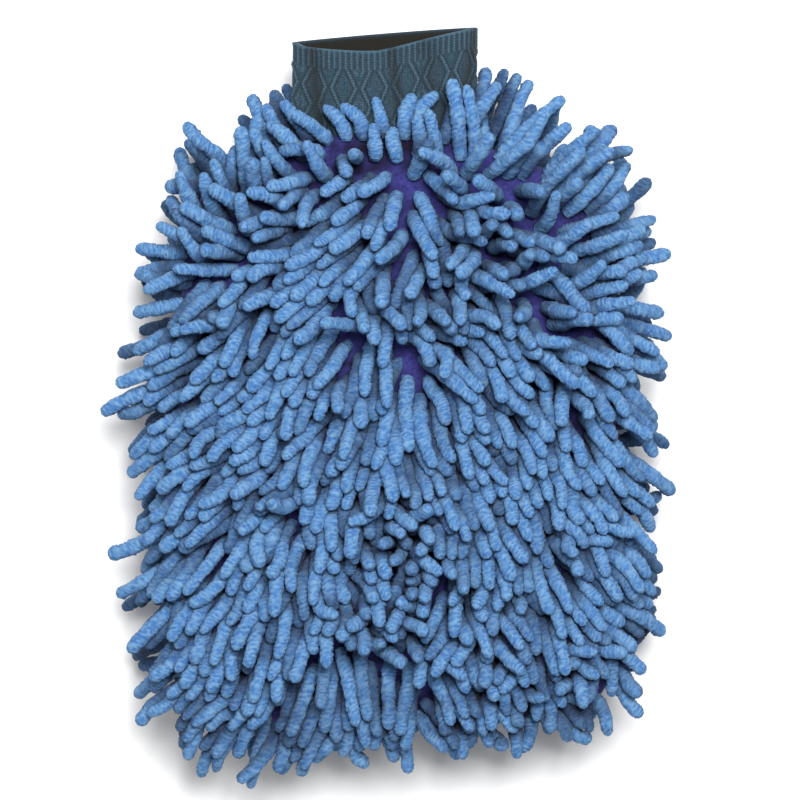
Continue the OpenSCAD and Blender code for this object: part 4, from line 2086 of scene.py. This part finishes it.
@dataclass
class SewnSeams:
    """The overlocked edges of the bag: its side seam, and the ring round the cuff.

    Attributes:
        bag: The bag that they close.
        seam_width: How far the side seam's edges reach into the bag.
        seam_in: How far inside the skin's edge the side seam starts.
        seam_half: Half-thickness of its two edges together.
        seam_stop: How far short of the mouth it ends.
        seam_places: Points along it.
        seam_across: Points across it.
        ripple: Height of the ripples along a raw edge.
        ripple_run: Length of one ripple.
        thread: Radius of the overlock thread.
        thread_sides: Facets round it.
        wrap: Spacing of the thread's wraps.
        ring_half: Half-thickness of the ring.
        ring_places: Rings of points round the cuff.
        ring_sides: Points round the ring's section.
        ring_ripple: Height of the ripples along its raw edge.
        ring_wraps: Number of the thread's wraps round it.
        ring_back: How far to the fingers those wraps' middle lies.
        ring_swing: How far they reach along the cuff.
    """

    bag: BagShape
    seam_width: float = 6.0 * MM
    seam_in: float = 0.3 * MM
    seam_half: float = 1.35 * MM
    seam_stop: float = 12 * MM
    seam_places: int = 420
    seam_across: int = 9
    ripple: float = 0.5 * MM
    ripple_run: float = 9.0 * MM
    thread: float = 0.28 * MM
    thread_sides: int = 6
    wrap: float = 2.2 * MM
    ring_half: float = 0.45 * MM
    ring_places: int = 360
    ring_sides: int = 14
    ring_ripple: float = 0.3 * MM
    ring_wraps: int = 80
    ring_back: float = 0.9 * MM
    ring_swing: float = 1.4 * MM

    def build(self, cloth: Material, thread: Material) -> None:
        """Make both seams and their threads.

        Args:
            cloth: Finish of the edges.
            thread: Finish of the threads.
        """
        for parts, name, node, material, slot in (
            (self._side_seam(), "side_seam_edges", "side_seam", cloth, "base_cloth"),
            (self._side_threads(), "side_seam_overlock", "side_seam_stitches", thread, "thread"),
            (self._ring(), "cuff_seam_edges", "cuff_seam", cloth, "base_cloth"),
            (self._ring_threads(), "cuff_seam_overlock", "cuff_seam_stitches", thread, "thread"),
        ):
            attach(parts.install(name, node, material, slot), "mitt")

    def _edge(self, inset: float, count: int) -> Array:
        """Points round the bag's outline, from mouth to finger end to mouth.

        Args:
            inset: Distance inside the skin's edge.
            count: Number of points.

        Returns:
            One row of coordinates for each point.
        """
        top = self.bag.length - self.seam_stop
        turn = np.linspace(-1.0, 1.0, count)
        station = np.maximum(top * np.abs(turn) ** 1.6, inset)
        width = self.bag.widths(np.maximum(station, 0.0)) - inset
        flat_end = np.clip(np.abs(turn) ** 0.8 / 0.16, 0.0, 1.0)
        x = self.bag.centres(station) + np.sign(turn) * width * flat_end
        return np.stack([x, self.bag.finger_y + station, np.full(count, self.bag.mid_z)], axis=-1)

    def _side_seam(self) -> MeshParts:
        """Make the two turned-in edges, which ripple along their raw side.

        Returns:
            The closed mesh.
        """
        count, across = self.seam_places, self.seam_across
        outer, inner = self._edge(self.seam_in, count), self._edge(self.seam_width, count)
        share = np.linspace(0.0, 1.0, across)[None, :, None]
        sheet = outer[:, None] * (1 - share) + inner[:, None] * share
        share = share[..., 0]
        turn = 2 * np.pi * run_along(inner) / self.ripple_run
        wave = self.ripple * np.sin(turn)[:, None] * share**2
        bow = self.seam_half * np.sqrt(np.clip(1.02 - (2 * share - 1) ** 4, 0, 1))
        parts = MeshParts()
        for way in (1, -1):
            face = sheet.copy()
            face[..., 2] += wave + way * bow
            parts.add(face.reshape(-1, 3), grid_quads(count, across, flip=way > 0))
        parts.join_borders(count, across, True)
        return parts

    def _side_threads(self) -> MeshParts:
        """Wrap the overlock thread over the side seam's raw edge, all the way round.

        Returns:
            The thread's mesh.
        """
        guide = self._edge(self.seam_width, 1600)
        run = run_along(guide)
        wraps = round(run[-1] / self.wrap)
        place = np.linspace(0.0, run[-1], wraps * 8)
        middle = np.stack([np.interp(place, run, guide[:, k]) for k in range(3)], axis=-1)
        inward = unit(np.cross(np.gradient(middle, axis=0), UP))
        turn = 2 * np.pi * wraps * place / run[-1]
        wave = self.ripple * np.sin(2 * np.pi * place / self.ripple_run)
        reach = (self.seam_half + self.thread) * 1.1
        path = middle + inward * (np.cos(turn) * 1.1 * MM + 0.3 * MM)[:, None]
        path = path + (wave + reach * np.sin(turn))[:, None] * UP
        parts = MeshParts()
        add_cord(parts, path, np.full(len(path), self.thread), self.thread_sides)
        return parts

    def _loop(self) -> tuple[Array, float, Array, Array, Array]:
        """Walk once round the middle of the cuff's ring.

        Returns:
            Its centre, half its length along Y, angles, points from the centre, and ways out.
        """
        low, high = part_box("cuff_seam")
        centre = np.array([(low.x + high.x) / 2, (low.y + high.y) / 2, (low.z + high.z) / 2])
        half_x = (high.x - low.x) / 2 - self.ring_half
        half_z = (high.z - low.z) / 2 - self.ring_half
        turn = np.linspace(0.0, 2 * np.pi, self.ring_places + 1)[:-1]
        lift = np.sign(np.sin(turn)) * np.abs(np.sin(turn)) ** 1.5
        ring = np.stack([half_x * np.cos(turn), np.zeros_like(turn), half_z * lift], axis=-1)
        out = unit(np.stack([np.cos(turn) / half_x, 0 * turn, np.sin(turn) / half_z], axis=-1))
        return centre, (high.y - low.y) / 2, turn, ring, out

    def _ring(self) -> MeshParts:
        """Make the sewn edges round the cuff.

        Returns:
            The closed mesh.
        """
        centre, long, turn, ring, out = self._loop()
        around = np.linspace(0.0, 2 * np.pi, self.ring_sides + 1)[:-1]
        wave = self.ring_ripple * np.sin(24 * turn)
        along = long * np.cos(around)[None, :] + wave[:, None]
        edge = (
            centre
            + ring[:, None]
            + (self.ring_half * np.sin(around))[None, :, None] * out[:, None]
            + along[..., None] * ALONG
        )
        quads = grid_quads(self.ring_places + 1, self.ring_sides, wrap=True, flip=True)
        parts = MeshParts()
        parts.add(edge.reshape(-1, 3), quads % (self.ring_places * self.ring_sides))
        return parts

    def _ring_threads(self) -> MeshParts:
        """Wrap the thread round the ring.

        Returns:
            The thread's mesh.
        """
        centre, _, turn, ring, out = self._loop()
        fine = np.linspace(0.0, 2 * np.pi, self.ring_wraps * 10 + 1)
        base, away = (
            np.stack([np.interp(fine, turn, each[:, k], period=2 * np.pi) for k in range(3)], -1)
            for each in (ring, out)
        )
        reach = self.ring_half + self.thread
        path = centre + base + away * (reach * np.sin(self.ring_wraps * fine))[:, None]
        path[:, 1] += self.ring_swing * np.cos(self.ring_wraps * fine) - self.ring_back
        parts = MeshParts()
        add_cord(parts, path, np.full(len(path), self.thread), self.thread_sides)
        return parts


# --- Studio ---


@dataclass(frozen=True)
class Lamp:
    """A soft square lamp that looks at the mitt.

    Attributes:
        name: Its name.
        place: Where it stands.
        size: Its side.
        power: Its power in watts.
        aim: Where it looks.
    """

    name: str
    place: tuple[float, float, float]
    size: float
    power: float
    aim: tuple[float, float, float] = (0.0, 0.0, 0.03)

    def build(self) -> None:
        """Add the lamp."""
        data = bpy.data.lights.new(self.name, "AREA")
        data.size = self.size
        data.energy = self.power
        lamp = bpy.data.objects.new(self.name, data)
        lamp.location = self.place
        aim = Vector(self.aim) - lamp.location
        lamp.rotation_euler = aim.to_track_quat("-Z", "Y").to_euler()
        bpy.context.scene.collection.objects.link(lamp)


@dataclass
class Studio:
    """Pale floor, soft lamps and the overhead camera.

    Attributes:
        floor_size: Side of the floor.
        floor_tone: Brightness of the floor.
        view_width: Width that the camera takes in.
        distance: How far off it is.
        tilt: How far beyond the cuff it stands, in degrees from overhead.
        aim: Where it looks.
        world: Strength of the light from all round.
        lamps: The lamps.
    """

    floor_size: float = 6.0
    floor_tone: float = 0.93
    view_width: float = 0.2986
    distance: float = 1.25
    tilt: float = 5.0
    aim: tuple[float, float, float] = (0.0006, 0.0012, 0.035)
    world: float = 0.17
    lamps: tuple[Lamp, ...] = (
        Lamp("key_lamp", (0.14, 0.50, 1.40), 0.55, 33.0),
        Lamp("fill_lamp", (-0.9, 0.2, 1.1), 1.0, 3.0),
        Lamp("front_lamp", (0.1, -1.0, 0.9), 1.0, 2.0),
    )

    def build(self) -> None:
        """Make the floor, the lamps, the world and the camera."""
        self._floor()
        for lamp in self.lamps:
            lamp.build()
        world = bpy.data.worlds.new("studio_world")
        world.use_nodes = True
        background = world.node_tree.nodes["Background"]
        background.inputs["Color"].default_value = (1.0, 1.0, 1.0, 1.0)
        background.inputs["Strength"].default_value = self.world
        bpy.context.scene.world = world
        self._camera()

    def _floor(self) -> None:
        """Lay a sheet of pale paper."""
        lines = np.linspace(-self.floor_size / 2, self.floor_size / 2, 9)
        x, y = np.meshgrid(lines, lines)
        parts = MeshParts()
        parts.add(np.stack([x.ravel(), y.ravel(), np.zeros(x.size)], axis=-1), grid_quads(9, 9))
        floor = parts.build("studio_floor")
        paper = bpy.data.materials.new("studio_paper")
        paper.use_nodes = True
        shader = paper.node_tree.nodes["Principled BSDF"]
        shader.inputs["Base Color"].default_value = (*[self.floor_tone] * 3, 1.0)
        shader.inputs["Roughness"].default_value = 0.95
        floor.data.materials.append(paper)

    def _camera(self) -> None:
        """Look down on the mitt, from slightly beyond its cuff."""
        data = bpy.data.cameras.new("overhead_camera")
        data.sensor_width = 36.0
        data.lens = data.sensor_width * self.distance / self.view_width
        camera = bpy.data.objects.new("overhead_camera", data)
        lean = math.radians(self.tilt)
        back = Vector((0.0, math.sin(lean), math.cos(lean)))
        camera.location = Vector(self.aim) + back * self.distance
        camera.rotation_euler = (-lean, 0.0, 0.0)
        bpy.context.scene.collection.objects.link(camera)
        bpy.context.scene.camera = camera
        bpy.context.scene.view_settings.view_transform = "Standard"


def main() -> None:
    """Build every piece in order."""
    logging.basicConfig(level=logging.INFO, format="%(name)s: %(message)s")
    Studio().build()
    bag = BagShape.from_frame()
    cloth, knit, thread = BASE_CLOTH.build(), KNIT.build(), THREAD.build()
    beads = ChenillePile(bag).build(CHENILLE.build())
    BagCloths(bag, beads).build(cloth, LINING.build())
    SewnSeams(bag).build(cloth, thread)
    KnittedCuff.from_frame().build(knit, ELASTIC.build())


if __name__ == "__main__":
    main()
